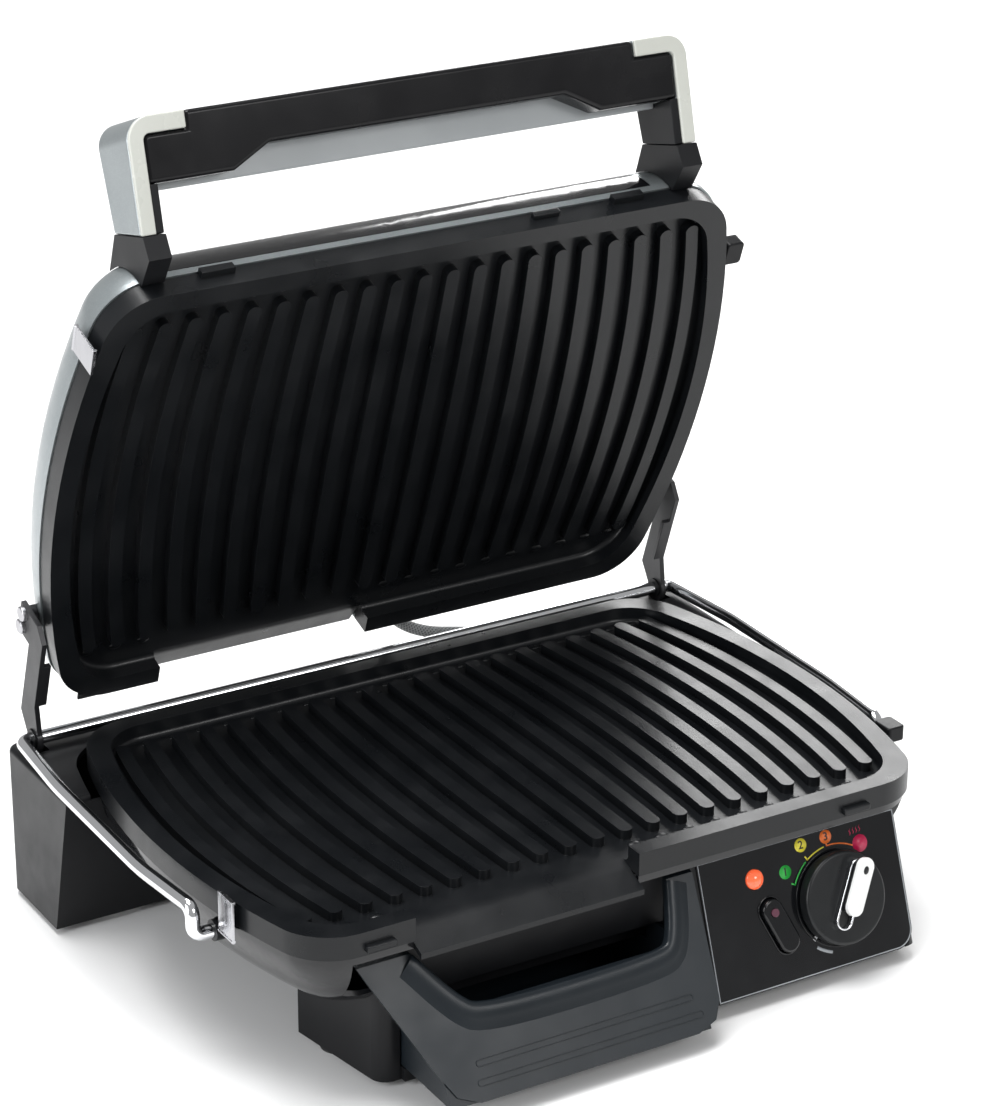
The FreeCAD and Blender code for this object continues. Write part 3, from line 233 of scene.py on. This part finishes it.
def makeFinish(name, base, tint, rough, grain=900.0, bump=0.15, depth=0.00006, smudge=22.0, metallic=0.0,
               coat=0.0, coatRough=0.05, specks=None, specular=0.5, extra=None):
    material, tree, shader = newMaterial(name)
    finish = placeGroup(tree, finishGroup, {"Base": rgba(base), "Tint": rgba(tint), "Grain": grain,
                                            "Smudge": smudge, "Rough Low": rough[0], "Rough High": rough[1]})
    color = finish.outputs["Color"]
    if specks:
        speckColor, size, amount = specks
        dots = placeGroup(tree, speckleGroup, {"Speck": rgba(speckColor), "Size": size, "Amount": amount})
        tree.links.new(color, dots.inputs["Color"])
        color = dots.outputs["Color"]
    tree.links.new(color, shader.inputs["Base Color"])
    tree.links.new(finish.outputs["Roughness"], shader.inputs["Roughness"])
    addRelief(tree, shader, finish.outputs["Height"], bump, depth)
    plain = {"Metallic": metallic, "Coat Weight": coat, "Coat Roughness": coatRough,
             "Specular IOR Level": specular}
    for label, value in {**plain, **(extra or {})}.items():
        shader.inputs[label].default_value = value
    return material


brushedLook = {"tint": 0.82, "bump": 0.1, "depth": 0.00005}


def makeBrushed(name, color, rough, stretch):
    material, tree, shader = newMaterial(name)
    lines = placeGroup(tree, brushGroup, {"Stretch": stretch, "Rough Low": rough[0], "Rough High": rough[1]})
    tint = [brushedLook["tint"] * part for part in color]
    finish = placeGroup(tree, finishGroup, {"Base": rgba(color), "Tint": rgba(tint)})
    tree.links.new(finish.outputs["Color"], shader.inputs["Base Color"])
    tree.links.new(lines.outputs["Roughness"], shader.inputs["Roughness"])
    addRelief(tree, shader, lines.outputs["Height"], brushedLook["bump"], brushedLook["depth"])
    shader.inputs["Metallic"].default_value = 1.0
    return material


braidLook = {"strand": (0.42, 0.43, 0.43), "gap": (0.05, 0.05, 0.055), "crossings": 9, "bump": 0.8,
             "depth": 0.0004, "rough": 0.62}


def makeBraid(name):
    material, tree, shader = newMaterial(name)
    braid = placeGroup(tree, braidGroup, {"Strand": rgba(braidLook["strand"]), "Gap": rgba(braidLook["gap"]),
                                          "Pitch": 2 * pi * braidLook["crossings"]})
    tree.links.new(braid.outputs["Color"], shader.inputs["Base Color"])
    addRelief(tree, shader, braid.outputs["Height"], braidLook["bump"], braidLook["depth"])
    shader.inputs["Roughness"].default_value = braidLook["rough"]
    return material


finishes = {
    "gloss_black": makeFinish("glossBlack", (0.0035, 0.0038, 0.0048), (0.0050, 0.0054, 0.0066), (0.10, 0.20),
                              grain=300, bump=0.02, coat=0.25, coatRough=0.04, specular=0.35),
    "matte_black": makeFinish("mouldedBlack", (0.0055, 0.0058, 0.0068), (0.0085, 0.0088, 0.0100),
                              (0.34, 0.46), grain=2600, bump=0.3, depth=0.00008, specular=0.2),
    "tray_grey": makeFinish("trayPlastic", (0.0075, 0.0105, 0.0135), (0.0100, 0.0135, 0.0170), (0.28, 0.38),
                            grain=3000, bump=0.25, depth=0.00006, specular=0.28),
    "dial_black": makeFinish("dialPlastic", (0.007, 0.008, 0.009), (0.010, 0.011, 0.012), (0.26, 0.36),
                             grain=3000, bump=0.15, specular=0.35),
    "grip_black": makeFinish("gripPlastic", (0.0035, 0.0035, 0.0042), (0.0052, 0.0052, 0.0060), (0.20, 0.30),
                             grain=2600, bump=0.12, specular=0.24),
    "pale_grey": makeFinish("paleGreyPlastic", (0.34, 0.36, 0.37), (0.31, 0.33, 0.34), (0.35, 0.45),
                            bump=0.1),
    "warm_white": makeFinish("warmWhiteTrim", (0.50, 0.51, 0.47), (0.46, 0.47, 0.43), (0.24, 0.34),
                             grain=1500, bump=0.05, coat=0.25),
    "silver_paint": makeFinish("silverPaint", (0.30, 0.33, 0.34), (0.26, 0.29, 0.30), (0.33, 0.42),
                               grain=2200, bump=0.08, metallic=0.7, coat=0.3, coatRough=0.12,
                               specks=((0.62, 0.65, 0.67), 2400.0, 0.3)),
    "black_steel": makeFinish("blackCoatedSteel", (0.016, 0.016, 0.018), (0.025, 0.025, 0.027), (0.32, 0.48),
                              grain=1800, bump=0.3, metallic=0.3),
    "nonstick": makeFinish("nonStickCoat", (0.0045, 0.0052, 0.0062), (0.0070, 0.0078, 0.0090), (0.27, 0.38),
                           grain=2100, bump=0.5, depth=0.00010, smudge=30, specular=0.24, coat=0.12,
                           coatRough=0.16, specks=((0.020, 0.022, 0.025), 1500.0, 0.2)),
    "chrome_rod": makeFinish("polishedChrome", (0.80, 0.81, 0.83), (0.74, 0.75, 0.77), (0.05, 0.14),
                             grain=400, bump=0.02, metallic=1.0),
    "spring_steel": makeBrushed("springSteel", (0.48, 0.48, 0.50), (0.14, 0.30), (900.0, 900.0, 6.0)),
    "steel": makeBrushed("zincSteel", (0.50, 0.50, 0.52), (0.28, 0.44), (700.0, 700.0, 12.0)),
    "bright_sheet": makeBrushed("brightSheet", (0.80, 0.80, 0.82), (0.14, 0.30), (4.0, 700.0, 700.0)),
    "element": makeFinish("heatedElement", (0.16, 0.15, 0.15), (0.26, 0.21, 0.17), (0.35, 0.55), metallic=0.8,
                          smudge=40, bump=0.25),
    "ceramic": makeFinish("glazedCeramic", (0.72, 0.70, 0.63), (0.66, 0.64, 0.58), (0.18, 0.30), bump=0.08),
    "lamp_red": makeFinish("redLens", (0.85, 0.10, 0.035), (0.78, 0.07, 0.03), (0.10, 0.18), bump=0.03,
                           coat=0.7, extra={"Subsurface Weight": 0.25, "Emission Strength": 0.55,
                                            "Emission Color": (1.0, 0.16, 0.06, 1)}),
    "lamp_smoke": makeFinish("smokedLens", (0.10, 0.03, 0.05), (0.07, 0.02, 0.04), (0.06, 0.14), bump=0.02,
                             coat=0.8),
    "rubber_foot": makeFinish("footRubber", (0.015, 0.015, 0.015), (0.022, 0.022, 0.022), (0.65, 0.8),
                              bump=0.4),
    "sleeve_grey": makeBraid("braidedSleeve"),
}
print("finishes ready:", len(finishes))


def newPiece(name, mesh, material, smooth=True):
    data = bpy.data.meshes.new(name)
    mesh.to_mesh(data)
    mesh.free()
    piece = bpy.data.objects.new(name, data)
    bpy.context.scene.collection.objects.link(piece)
    data.materials.append(material)
    if smooth:
        data.shade_smooth()
    return piece


def addPiece(name, mesh, body, slot, material=None):
    piece = newPiece(name, mesh, material or finishes[slot])
    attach(piece, body)
    return piece


def evenNormals(piece):
    normals = piece.modifiers.new("flatNormals", "WEIGHTED_NORMAL")
    normals.keep_sharp = True


def roundEdges(piece, width, segments=3):
    bevel = piece.modifiers.new("edgeRound", "BEVEL")
    bevel.width = width
    bevel.segments = segments
    bevel.limit_method = "ANGLE"
    bevel.angle_limit = radians(28)
    bevel.use_clamp_overlap = True
    evenNormals(piece)
    return piece


merging = {"gap": 0.000002, "flatAngle": 0.6, "creaseAngle": 33}


def mergedCopy(node):
    mesh = bmesh.new()
    mesh.from_mesh(frame["nodes"][node].data)
    bmesh.ops.remove_doubles(mesh, verts=mesh.verts, dist=merging["gap"])
    return mesh


def softCopy(node, width):  # a CAD node with its edges rounded as a mould leaves them
    mesh = mergedCopy(node)
    bmesh.ops.dissolve_limit(mesh, angle_limit=radians(merging["flatAngle"]), verts=mesh.verts,
                             edges=mesh.edges)
    piece = addPiece(node + "_soft", mesh, frame["nodes"][node]["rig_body"], slotOf[node])
    roundEdges(piece, width * mm)
    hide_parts(node)


def flowingCopy(node):  # a CAD node whose gentle creases are shaded as one flowing surface
    mesh = mergedCopy(node)
    for edge in mesh.edges:
        gentle = len(edge.link_faces) == 2 and edge.calc_face_angle(0.0) < radians(merging["creaseAngle"])
        edge.smooth = gentle
    piece = addPiece(node + "_flowing", mesh, frame["nodes"][node]["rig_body"], slotOf[node])
    evenNormals(piece)
    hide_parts(node)


for node in ("lid_shell", "lid_front_cover", "lower_casing"):
    flowingCopy(node)

softEdges = {  # node: radius in mm of its moulded or pressed edges
    "base_housing": 0.8, "rear_stand": 0.8, "bottom_cover": 0.4, "control_fascia": 0.7, "switch_rocker": 0.5,
    "dial": 0.8, "drip_tray": 1.0, "handle_covers": 1.0, "handle_trims": 0.7,
    "handle_liners": 0.6, "handle_feet": 1.6, "handle_grip": 2.2, "grip_rear_cover": 1.0,
    "left_hinge_bracket": 0.5, "right_hinge_bracket": 0.5, "lower_clip": 0.35, "upper_clip": 0.35,
    "lower_release_tab": 0.8, "upper_release_tab": 0.8, "lower_plate": 1.3, "upper_plate": 1.3,
    "feet": 0.6, "cord_gland": 0.6, "lid_frame": 0.5,
}
for node, radius in softEdges.items():
    softCopy(node, radius)
print("moulded pieces rounded:", len(softEdges))

for node, piece in frame["nodes"].items():
    piece.data.materials.clear()
    piece.data.materials.append(finishes[slotOf[node]])

panel = {"y": -116.265, "z": 65.0, "lean": 20.0, "print": 0.12, "sunk": 0.1}  # prints stand proud and reach in
dialSpot = {"x": 108.0, "v": -29.4, "turn": 29.0}
lean = radians(panel["lean"])
panelTurn = Matrix(((1, 0, 0, 0), (0, sin(lean), -cos(lean), 0), (0, cos(lean), sin(lean), 0), (0, 0, 0, 1)))
panelPlace = Matrix.Translation(Vector((0, panel["y"], panel["z"])) * mm)
panelSpace = panelPlace @ panelTurn @ Matrix.Scale(mm, 4)


def prism(points, low, high):  # a flat outline drawn out to a height
    mesh = bmesh.new()
    face = mesh.faces.new([mesh.verts.new((x, y, low)) for x, y in points])
    grown = bmesh.ops.extrude_face_region(mesh, geom=[face])
    for item in grown["geom"]:
        if isinstance(item, bmesh.types.BMVert):
            item.co.z = high
    bmesh.ops.recalc_face_normals(mesh, faces=mesh.faces)
    return mesh


def skinLines(mesh, lines, closed):  # faces made directly, because bridge_loops twists the pointer's slim loop
    for line, following in zip(lines, lines[1:]):
        for index in range(len(line) if closed else len(line) - 1):
            nextOne = (index + 1) % len(line)
            mesh.faces.new((line[index], line[nextOne], following[nextOne], following[index]))
    bmesh.ops.recalc_face_normals(mesh, faces=mesh.faces)


def ring(outer, inner, low, high):  # a band between two outlines with the same number of points
    mesh = bmesh.new()
    lines = [[mesh.verts.new((x, y, z)) for x, y in outline]
             for outline, z in ((outer, low), (outer, high), (inner, high), (inner, low))]
    skinLines(mesh, lines + lines[:1], True)
    return mesh


def pill(halfWidth, tail, tip, steps=20):
    turns = [pi * index / steps for index in range(steps + 1)]
    points = [(halfWidth * cos(turn), tip - halfWidth + halfWidth * sin(turn)) for turn in turns]
    return points + [(-halfWidth * cos(turn), halfWidth - tail - halfWidth * sin(turn)) for turn in turns]


def circle(radius, steps=40):
    turns = [2 * pi * index / steps for index in range(steps)]
    return [(radius * cos(turn), radius * sin(turn)) for turn in turns]


def arcBand(radius, width, first, last, steps=24):
    turns = [radians(first + (last - first) * index / steps) for index in range(steps + 1)]
    outer = [((radius + width) * cos(turn), (radius + width) * sin(turn)) for turn in turns]
    return outer + [(radius * cos(turn), radius * sin(turn)) for turn in reversed(turns)]


def bar(left, right, bottom, top):
    return [(left, bottom), (right, bottom), (right, top), (left, top)]


def cornered(left, right, bottom, top, radius, steps=10):  # a rectangle with its lower right corner rounded
    points = [(left, top), (left, bottom)]
    for index in range(steps + 1):
        turn = -pi / 2 + pi / 2 * index / steps
        points.append((right - radius + radius * cos(turn), bottom + radius + radius * sin(turn)))
    return points + [(right, top)]


def onPanel(mesh, x=0.0, v=0.0, turn=0.0):
    mesh.transform(panelSpace @ Matrix.Translation((x, v, 0)) @ Matrix.Rotation(-radians(turn), 4, "Z"))
    return mesh


def onDial(mesh, turn=0.0):
    return onPanel(mesh, dialSpot["x"], dialSpot["v"], turn)


def makePrint(name, color):
    return makeFinish(name, color, [0.9 * part for part in color], (0.35, 0.45), bump=0.02)


prints = {
    "green": makePrint("printGreen", (0.02, 0.38, 0.05)),
    "yellow": makePrint("printYellow", (0.75, 0.66, 0.05)),
    "orange": makePrint("printOrange", (0.80, 0.17, 0.03)),
    "crimson": makePrint("printCrimson", (0.50, 0.01, 0.07)),
    "ink": makePrint("printInk", (0.01, 0.01, 0.01)),
    "pale": makePrint("printPale", (0.75, 0.76, 0.77)),
    "line": makePrint("panelLine", (0.30, 0.32, 0.34)),
}


def addPrint(name, outline, tone, place, turn=0.0):
    mesh = onPanel(prism(outline, -panel["sunk"], panel["print"]), *place, turn)
    addPiece(name, mesh, "base", "gloss_black", prints[tone])


def addNumeral(name, text, place, size):
    curve = bpy.data.curves.new(name, "FONT")
    curve.body = text
    curve.size = size
    curve.align_x = "CENTER"
    curve.align_y = "CENTER"
    curve.offset = 0.08
    holder = bpy.data.objects.new(name, curve)
    flat = bpy.data.meshes.new_from_object(holder)
    mesh = bmesh.new()
    mesh.from_mesh(flat)
    bmesh.ops.translate(mesh, verts=mesh.verts, vec=(0, 0, panel["print"] + 0.08))  # clear of its badge
    bpy.data.objects.remove(holder)
    bpy.data.curves.remove(curve)
    bpy.data.meshes.remove(flat)
    addPiece(name, onPanel(mesh, *place), "base", "gloss_black", prints["ink"])


heatMarks = (  # badge place, colour, numeral, arc from, arc to
    ((82.6, -11.8), "green", "1", 153.0, 125.5),
    ((92.7, -2.0), "yellow", "2", 122.5, 98.0),
    ((106.4, -1.4), "orange", "3", 94.0, 60.0),
)
dialScale = {"badge": 3.15, "numeral": 5.2, "arc": 23.6, "line": 0.65, "tickEnd": 26.0, "tickHalf": 0.35}
dialPlace = (dialSpot["x"], dialSpot["v"])
tickBar = bar(dialScale["arc"], dialScale["tickEnd"], -dialScale["tickHalf"], dialScale["tickHalf"])
for place, tone, numeral, first, last in heatMarks:
    addPrint("badge" + numeral, circle(dialScale["badge"]), tone, place)
    addNumeral("numeral" + numeral, numeral, place, dialScale["numeral"])
    addPrint("arc" + numeral, arcBand(dialScale["arc"], dialScale["line"], first, last), tone, dialPlace)
    addPrint("tick" + numeral, tickBar, tone, dialPlace, -first)

sear = {"place": (124.0, -8.6), "radius": 4.0, "flames": (123.2, -3.9), "offsets": (-3.6, -1.8, 0.0, 1.8),
        "step": 0.2}
flameLine = [(-0.6, 0), (0.1, 0.9), (-0.5, 1.9), (0.3, 3.0), (-0.2, 1.9), (0.45, 0.9), (-0.3, 0)]
addPrint("searBadge", circle(sear["radius"]), "crimson", sear["place"])
for index, offset in enumerate(sear["offsets"]):
    place = (sear["flames"][0] + offset, sear["flames"][1] + sear["step"] * index)
    addPrint("searFlame%d" % index, flameLine, "crimson", place)

offMark = {"place": (92.8, -44.4), "turn": 45, "half": (0.8, 1.4), "arc": (24.0, 1.4, -128, -108)}
halfAcross, halfAlong = offMark["half"]
offBar = bar(-halfAcross, halfAcross, -halfAlong, halfAlong)
addPrint("offMark", offBar, "pale", offMark["place"], offMark["turn"])
addPrint("offArc", arcBand(*offMark["arc"]), "line", dialPlace)

bezel = {"left": 38.2, "right": 143.9, "bottom": -60.4, "top": 2.4, "radius": 8.4, "width": 0.5, "proud": 0.22}


def bezelLine(inset):
    return cornered(bezel["left"] + inset, bezel["right"] - inset, bezel["bottom"] + inset,
                    bezel["top"] - inset, bezel["radius"] - inset)


frameLine = onPanel(ring(bezelLine(0.0), bezelLine(bezel["width"]), -panel["sunk"], bezel["proud"]))
addPiece("panelBezel", frameLine, "base", "gloss_black", prints["line"])


def pillRing(halfWidth, tail, tip, width, low, high):
    return ring(pill(halfWidth, tail, tip), pill(halfWidth - width, tail - width, tip - width), low, high)


rocker = {"x": 74.7, "v": -34.0, "turn": -22}
surround = onPanel(pillRing(6.5, 14.7, 14.7, 0.75, -0.3, 0.5), **rocker)
roundEdges(addPiece("rockerSurround", surround, "base", "gloss_black"), 0.3 * mm)

pointerWhite = makeFinish("pointerWhite", (0.80, 0.81, 0.80), (0.76, 0.77, 0.76), (0.18, 0.28), bump=0.02,
                          coat=0.4)
pointerPieces = {  # name: (outline, low, high, material)
    "pointerWell": (pill(3.2, 13.4, 17.5), 6.9, 7.35, prints["ink"]),
    "pointerStem": (pill(3.1, 6.0, 18.6), 7.3, 13.0, finishes["dial_black"]),
    "pointerTop": (pill(4.1, 7.6, 19.4), 12.8, 15.9, pointerWhite),
}
for name, (outline, low, high, material) in pointerPieces.items():
    mesh = onDial(prism(outline, low, high), dialSpot["turn"])
    roundEdges(addPiece(name, mesh, "dial_knob", "chrome_rod", material), 0.6 * mm)
loop = onDial(pillRing(4.3, 14.5, 18.6, 1.0, 6.9, 10.2), dialSpot["turn"])
loopPiece = addPiece("pointerLoop", loop, "dial_knob", "chrome_rod")
roundEdges(loopPiece, 0.45 * mm)
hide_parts("dial_pointer")
eye = {"half": (1.25, 1.9), "along": 13.6, "low": 15.7, "high": 15.99}
eyeLine = [(eye["half"][0] * x, eye["along"] + eye["half"][1] * y) for x, y in circle(1.0, 24)]
eyelet = onDial(prism(eyeLine, eye["low"], eye["high"]), dialSpot["turn"])
addPiece("pointerEye", eyelet, "dial_knob", "dial_black")
collar = {"outer": 22.6, "inner": 21.7, "low": -0.2, "high": 0.35, "steps": 64}
dialCollar = ring(circle(collar["outer"], collar["steps"]), circle(collar["inner"], collar["steps"]),
                  collar["low"], collar["high"])
roundEdges(addPiece("dialSurround", onDial(dialCollar), "base", "gloss_black"), 0.2 * mm)
print("control panel dressed")

trayFront = {"topY": -118.765, "topZ": 67.0, "slope": 0.64, "rollTop": 66.8, "middle": (-30.0, 70.0)}
fall = sqrt(1 + trayFront["slope"] ** 2)


def trayPoint(x, z, out=0.0):  # a point on the tray's leaning front, lifted off it by out
    y = trayFront["topY"] - (trayFront["topZ"] - z) * trayFront["slope"]
    return Vector((x, y - out / fall, z + out * trayFront["slope"] / fall)) * mm


def smoothLine(points, rounds):  # corners cut off again and again
    for _ in range(rounds):
        cut = [points[0]]
        for first, second in zip(points, points[1:]):
            cut.append(first.lerp(second, 0.25))
            cut.append(first.lerp(second, 0.75))
        points = cut + [points[-1]]
    return points


mouthCorners = ((-107.0, 66.6), (-92.0, 48.5), (-82.0, 42.2), (8.0, 42.2), (13.8, 47.0), (19.6, 66.6))
rollShape = (  # distance out from the mouth, height off the front
    (-0.3, -2.6), (-0.3, 0.6), (0.1, 1.3), (0.9, 1.9), (2.4, 2.1), (4.4, 1.9), (6.4, 1.2), (8.2, 0.5),
    (9.8, 0.12), (11.0, -0.3),
)


def trayRoll():  # soft swelling round the tray's mouth
    line = smoothLine([Vector(pair) for pair in mouthCorners], 3)
    middle = Vector(trayFront["middle"])
    mesh = bmesh.new()
    rows = []
    for index, point in enumerate(line):
        along = (line[min(index + 1, len(line) - 1)] - line[max(index - 1, 0)]).normalized()
        away = Vector((-along.y, along.x))
        if away.dot(point - middle) < 0:
            away = -away
        spots = [(point + away * out, rise) for out, rise in rollShape]
        rows.append([mesh.verts.new(trayPoint(spot.x, min(spot.y, trayFront["rollTop"]), rise))
                     for spot, rise in spots])
    skinLines(mesh, rows, False)
    if sum(face.normal.y for face in mesh.faces) > 0:
        bmesh.ops.reverse_faces(mesh, faces=mesh.faces)
    return mesh


addPiece("trayRoll", trayRoll(), "tray", "tray_grey")

groove = {"half": 1.3, "lip": 0.35, "sunk": 0.2, "proud": 0.3, "round": 0.12}
grooves = {  # name: (left, right, height)
    "grooveUpper": (-90.5, 15.5, 23.4),
    "grooveLower": (-92.0, 18.5, 16.6),
}


def grooveLine(left, right, z, half, steps=10):
    points = []
    for centre, first in ((right, -pi / 2), (left, pi / 2)):
        turns = [first + pi * index / steps for index in range(steps + 1)]
        points += [(centre + half * cos(turn), z + half * sin(turn)) for turn in turns]
    return points


def addGroove(name, left, right, z):  # a thin raised line round a long slot across the lip
    outer = grooveLine(left, right, z, groove["half"])
    inner = grooveLine(left, right, z, groove["half"] - groove["lip"])
    mesh = bmesh.new()
    lines = [[mesh.verts.new(trayPoint(x, height, out)) for x, height in outline]
             for outline, out in ((outer, -groove["sunk"]), (outer, groove["proud"]),
                                  (inner, groove["proud"]), (inner, -groove["sunk"]))]
    skinLines(mesh, lines, True)
    roundEdges(addPiece(name, mesh, "tray", "tray_grey"), groove["round"] * mm, 2)


for name, place in grooves.items():
    addGroove(name, *place)
print("tray front dressed")


def swingOpen(mesh, opening):  # a piece of the lid is laid out shut and turned about the hinge
    if opening:
        turn = Matrix.Rotation(-opening, 4, "X")
        mesh.transform(Matrix.Translation(hinge) @ turn @ Matrix.Translation(-hinge))


def roundedBox(name, centre, size, body, opening, radius=0.7):
    mesh = bmesh.new()
    bmesh.ops.create_cube(mesh, size=1.0)
    mesh.transform(Matrix.Translation(Vector(centre) * mm) @ Matrix.Diagonal((*(Vector(size) * mm), 1)))
    swingOpen(mesh, opening)
    roundEdges(addPiece(name, mesh, body, "nonstick"), radius * mm)


lugSize = (14.0, 3.4, 3.2)
lugs = {  # name: (centre when shut, size, body, how far the lid has opened)
    "lowerLugLeft": ((-124.0, -124.2, 78.4), lugSize, "lower_griddle", 0.0),
    "lowerLugRight": ((117.0, -124.2, 78.4), lugSize, "lower_griddle", 0.0),
    "upperLugRight": ((60.0, -124.2, 94.4), lugSize, "upper_griddle", restOpening),
    "upperTabLeft": ((-140.0, 107.6, 90.4), (13.0, 4.0, 1.6), "upper_griddle", restOpening),
    "upperTabInner": ((-121.0, 107.6, 90.4), (11.0, 4.0, 1.6), "upper_griddle", restOpening),
}
for name, values in lugs.items():
    roundedBox(name, *values)

ribs = {"count": 21, "pitch": 15.3, "front": -89.0, "back": 97.0, "halfWidth": 171.5, "halfDepth": 115.0,
        "bulge": 18.5, "middleY": -8.265}
cups = {"size": (3.1, 2.1, 1.0), "gap": 4.2, "sink": 0.1, "spout": (-109.0, 5.0)}  # none beside the spout


def cupSpots():
    spots = []
    for index in range(ribs["count"]):
        middle = (index - (ribs["count"] - 1) / 2) * ribs["pitch"]
        for y in (ribs["front"] - cups["gap"], ribs["back"] + cups["gap"]):
            x = middle * (1 - ribs["bulge"] / ribs["halfWidth"] * (y / ribs["halfDepth"]) ** 2)
            if y > 0 or not cups["spout"][0] < x < cups["spout"][1]:
                spots.append((x, y))
    return spots


def addCups(name, floor, way, body, opening):  # way is +1 when the plate's cooking side faces up
    mesh = bmesh.new()
    sized = Matrix.Diagonal((*(Vector(cups["size"]) * mm), 1))
    for x, y in cupSpots():
        spot = Vector((x, way * y + ribs["middleY"], floor - way * cups["sink"])) * mm
        bmesh.ops.create_uvsphere(mesh, u_segments=16, v_segments=10, radius=1.0,
                                  matrix=Matrix.Translation(spot) @ sized)
    swingOpen(mesh, opening)
    addPiece(name, mesh, body, "nonstick")


addCups("lowerCups", 78.0, 1, "lower_griddle", 0.0)
addCups("upperCups", 94.8, -1, "upper_griddle", restOpening)
print("plates dressed")

lead = {"radius": 2.95, "split": 54.0, "overlap": 1.5, "rounds": 4}
leadRoute = ((26.0, 137.335, 101.5), (28.0, 140.235, 88.0), (46.0, 141.235, 75.5), (72.0, 138.735, 70.5),
             (96.0, 130.735, 68.0), (104.0, 119.735, 66.0))


def leadTube(points, radius, sides=20):
    mesh = bmesh.new()
    uv = mesh.loops.layers.uv.new("UVMap")
    rings, run, distance = [], 0.0, []
    for index, point in enumerate(points):
        along = (points[min(index + 1, len(points) - 1)] - points[max(index - 1, 0)]).normalized()
        side = along.cross(Vector((0, 0.2, 1))).normalized()
        up = side.cross(along)
        turns = [2 * pi * step / sides for step in range(sides)]
        rings.append([mesh.verts.new((point + (side * cos(turn) + up * sin(turn)) * radius) * mm)
                      for turn in turns])
        if index:
            run += (point - points[index - 1]).length
        distance.append(run / (2 * pi * radius))
    for index, (row, following) in enumerate(zip(rings, rings[1:])):
        for step in range(sides):
            nextOne = (step + 1) % sides
            face = mesh.faces.new((row[step], row[nextOne], following[nextOne], following[step]))
            corners = ((step, index), (step + 1, index), (step + 1, index + 1), (step, index + 1))
            for corner, (across, along) in zip(face.loops, corners):
                corner[uv].uv = (across / sides, distance[along])
    bmesh.ops.recalc_face_normals(mesh, faces=mesh.faces)
    return mesh


def addLead(name, points, node):
    piece = newPiece(name, leadTube(points, lead["radius"]), finishes["sleeve_grey"])
    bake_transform(piece)
    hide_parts(node)


leadLine = smoothLine([Vector(point) for point in leadRoute], lead["rounds"])
lower = [point for point in leadLine if point.x >= lead["split"] - lead["overlap"]]
upper = [point for point in leadLine if point.x <= lead["split"] + lead["overlap"]]
addLead("leadLowerBraid", lower, "lead_lower")
addLead("leadUpperBraid", upper, "lead_upper")
print("lead braided")


def makeFloor():
    mesh = bmesh.new()
    bmesh.ops.create_grid(mesh, x_segments=1, y_segments=1, size=6.0)
    pale = makeFinish("paleFloor", (0.90, 0.90, 0.90), (0.885, 0.885, 0.885), (0.55, 0.65), grain=200,
                      bump=0.02, smudge=3, specular=0.25)
    newPiece("floor", mesh, pale, smooth=False)


def addArea(name, spot, aim, size, power, color):
    lamp = bpy.data.lights.new(name, "AREA")
    lamp.shape = "RECTANGLE"
    lamp.size, lamp.size_y = size
    lamp.energy = power
    lamp.color = color
    holder = bpy.data.objects.new(name, lamp)
    holder.location = spot
    holder.rotation_euler = (Vector(aim) - Vector(spot)).to_track_quat("-Z", "Y").to_euler()
    bpy.context.scene.collection.objects.link(holder)


lamps = {  # name: (place, aim, size, power, colour)
    "topSoftbox": ((-0.2, 0.15, 1.9), (0.0, 0.0, 0.1), (1.3, 0.9), 42, (1, 1, 1)),
    "leftWindow": ((-1.8, -0.3, 0.8), (0.0, 0.0, 0.15), (0.7, 1.2), 20, (0.97, 0.985, 1)),
    "frontFill": ((0.7, -2.2, 1.5), (0.0, 0.0, 0.1), (1.1, 0.8), 20, (1, 1, 1)),
    "backRim": ((1.4, 1.5, 0.9), (0.0, 0.0, 0.15), (1.0, 0.7), 16, (1, 1, 1)),
}
worldLight = 0.42


def makeWorld():
    world = bpy.data.worlds.new("studio")
    world.use_nodes = True
    background = world.node_tree.nodes["Background"]
    background.inputs["Color"].default_value = (1, 1, 1, 1)
    background.inputs["Strength"].default_value = worldLight
    bpy.context.scene.world = world


camera = {"place": (-0.7274, -1.21977, 0.7937), "turn": 30.93, "pitch": 23.34, "roll": 0.31, "focal": 113.3}


def makeCamera():
    data = bpy.data.cameras.new("camera")
    data.sensor_fit = "VERTICAL"
    data.sensor_height = 36.0
    data.lens = camera["focal"]
    holder = bpy.data.objects.new("camera", data)
    heading = Matrix.Rotation(-radians(camera["turn"]), 4, "Z")
    tilt = Matrix.Rotation(radians(90 - camera["pitch"]), 4, "X")
    roll = Matrix.Rotation(radians(camera["roll"]), 4, "Z")
    holder.matrix_world = Matrix.Translation(camera["place"]) @ heading @ tilt @ roll
    bpy.context.scene.collection.objects.link(holder)
    bpy.context.scene.camera = holder


makeFloor()
for name, values in lamps.items():
    addArea(name, *values)
makeWorld()
makeCamera()
bpy.context.scene.view_settings.view_transform = "Standard"
print("stage and camera ready")
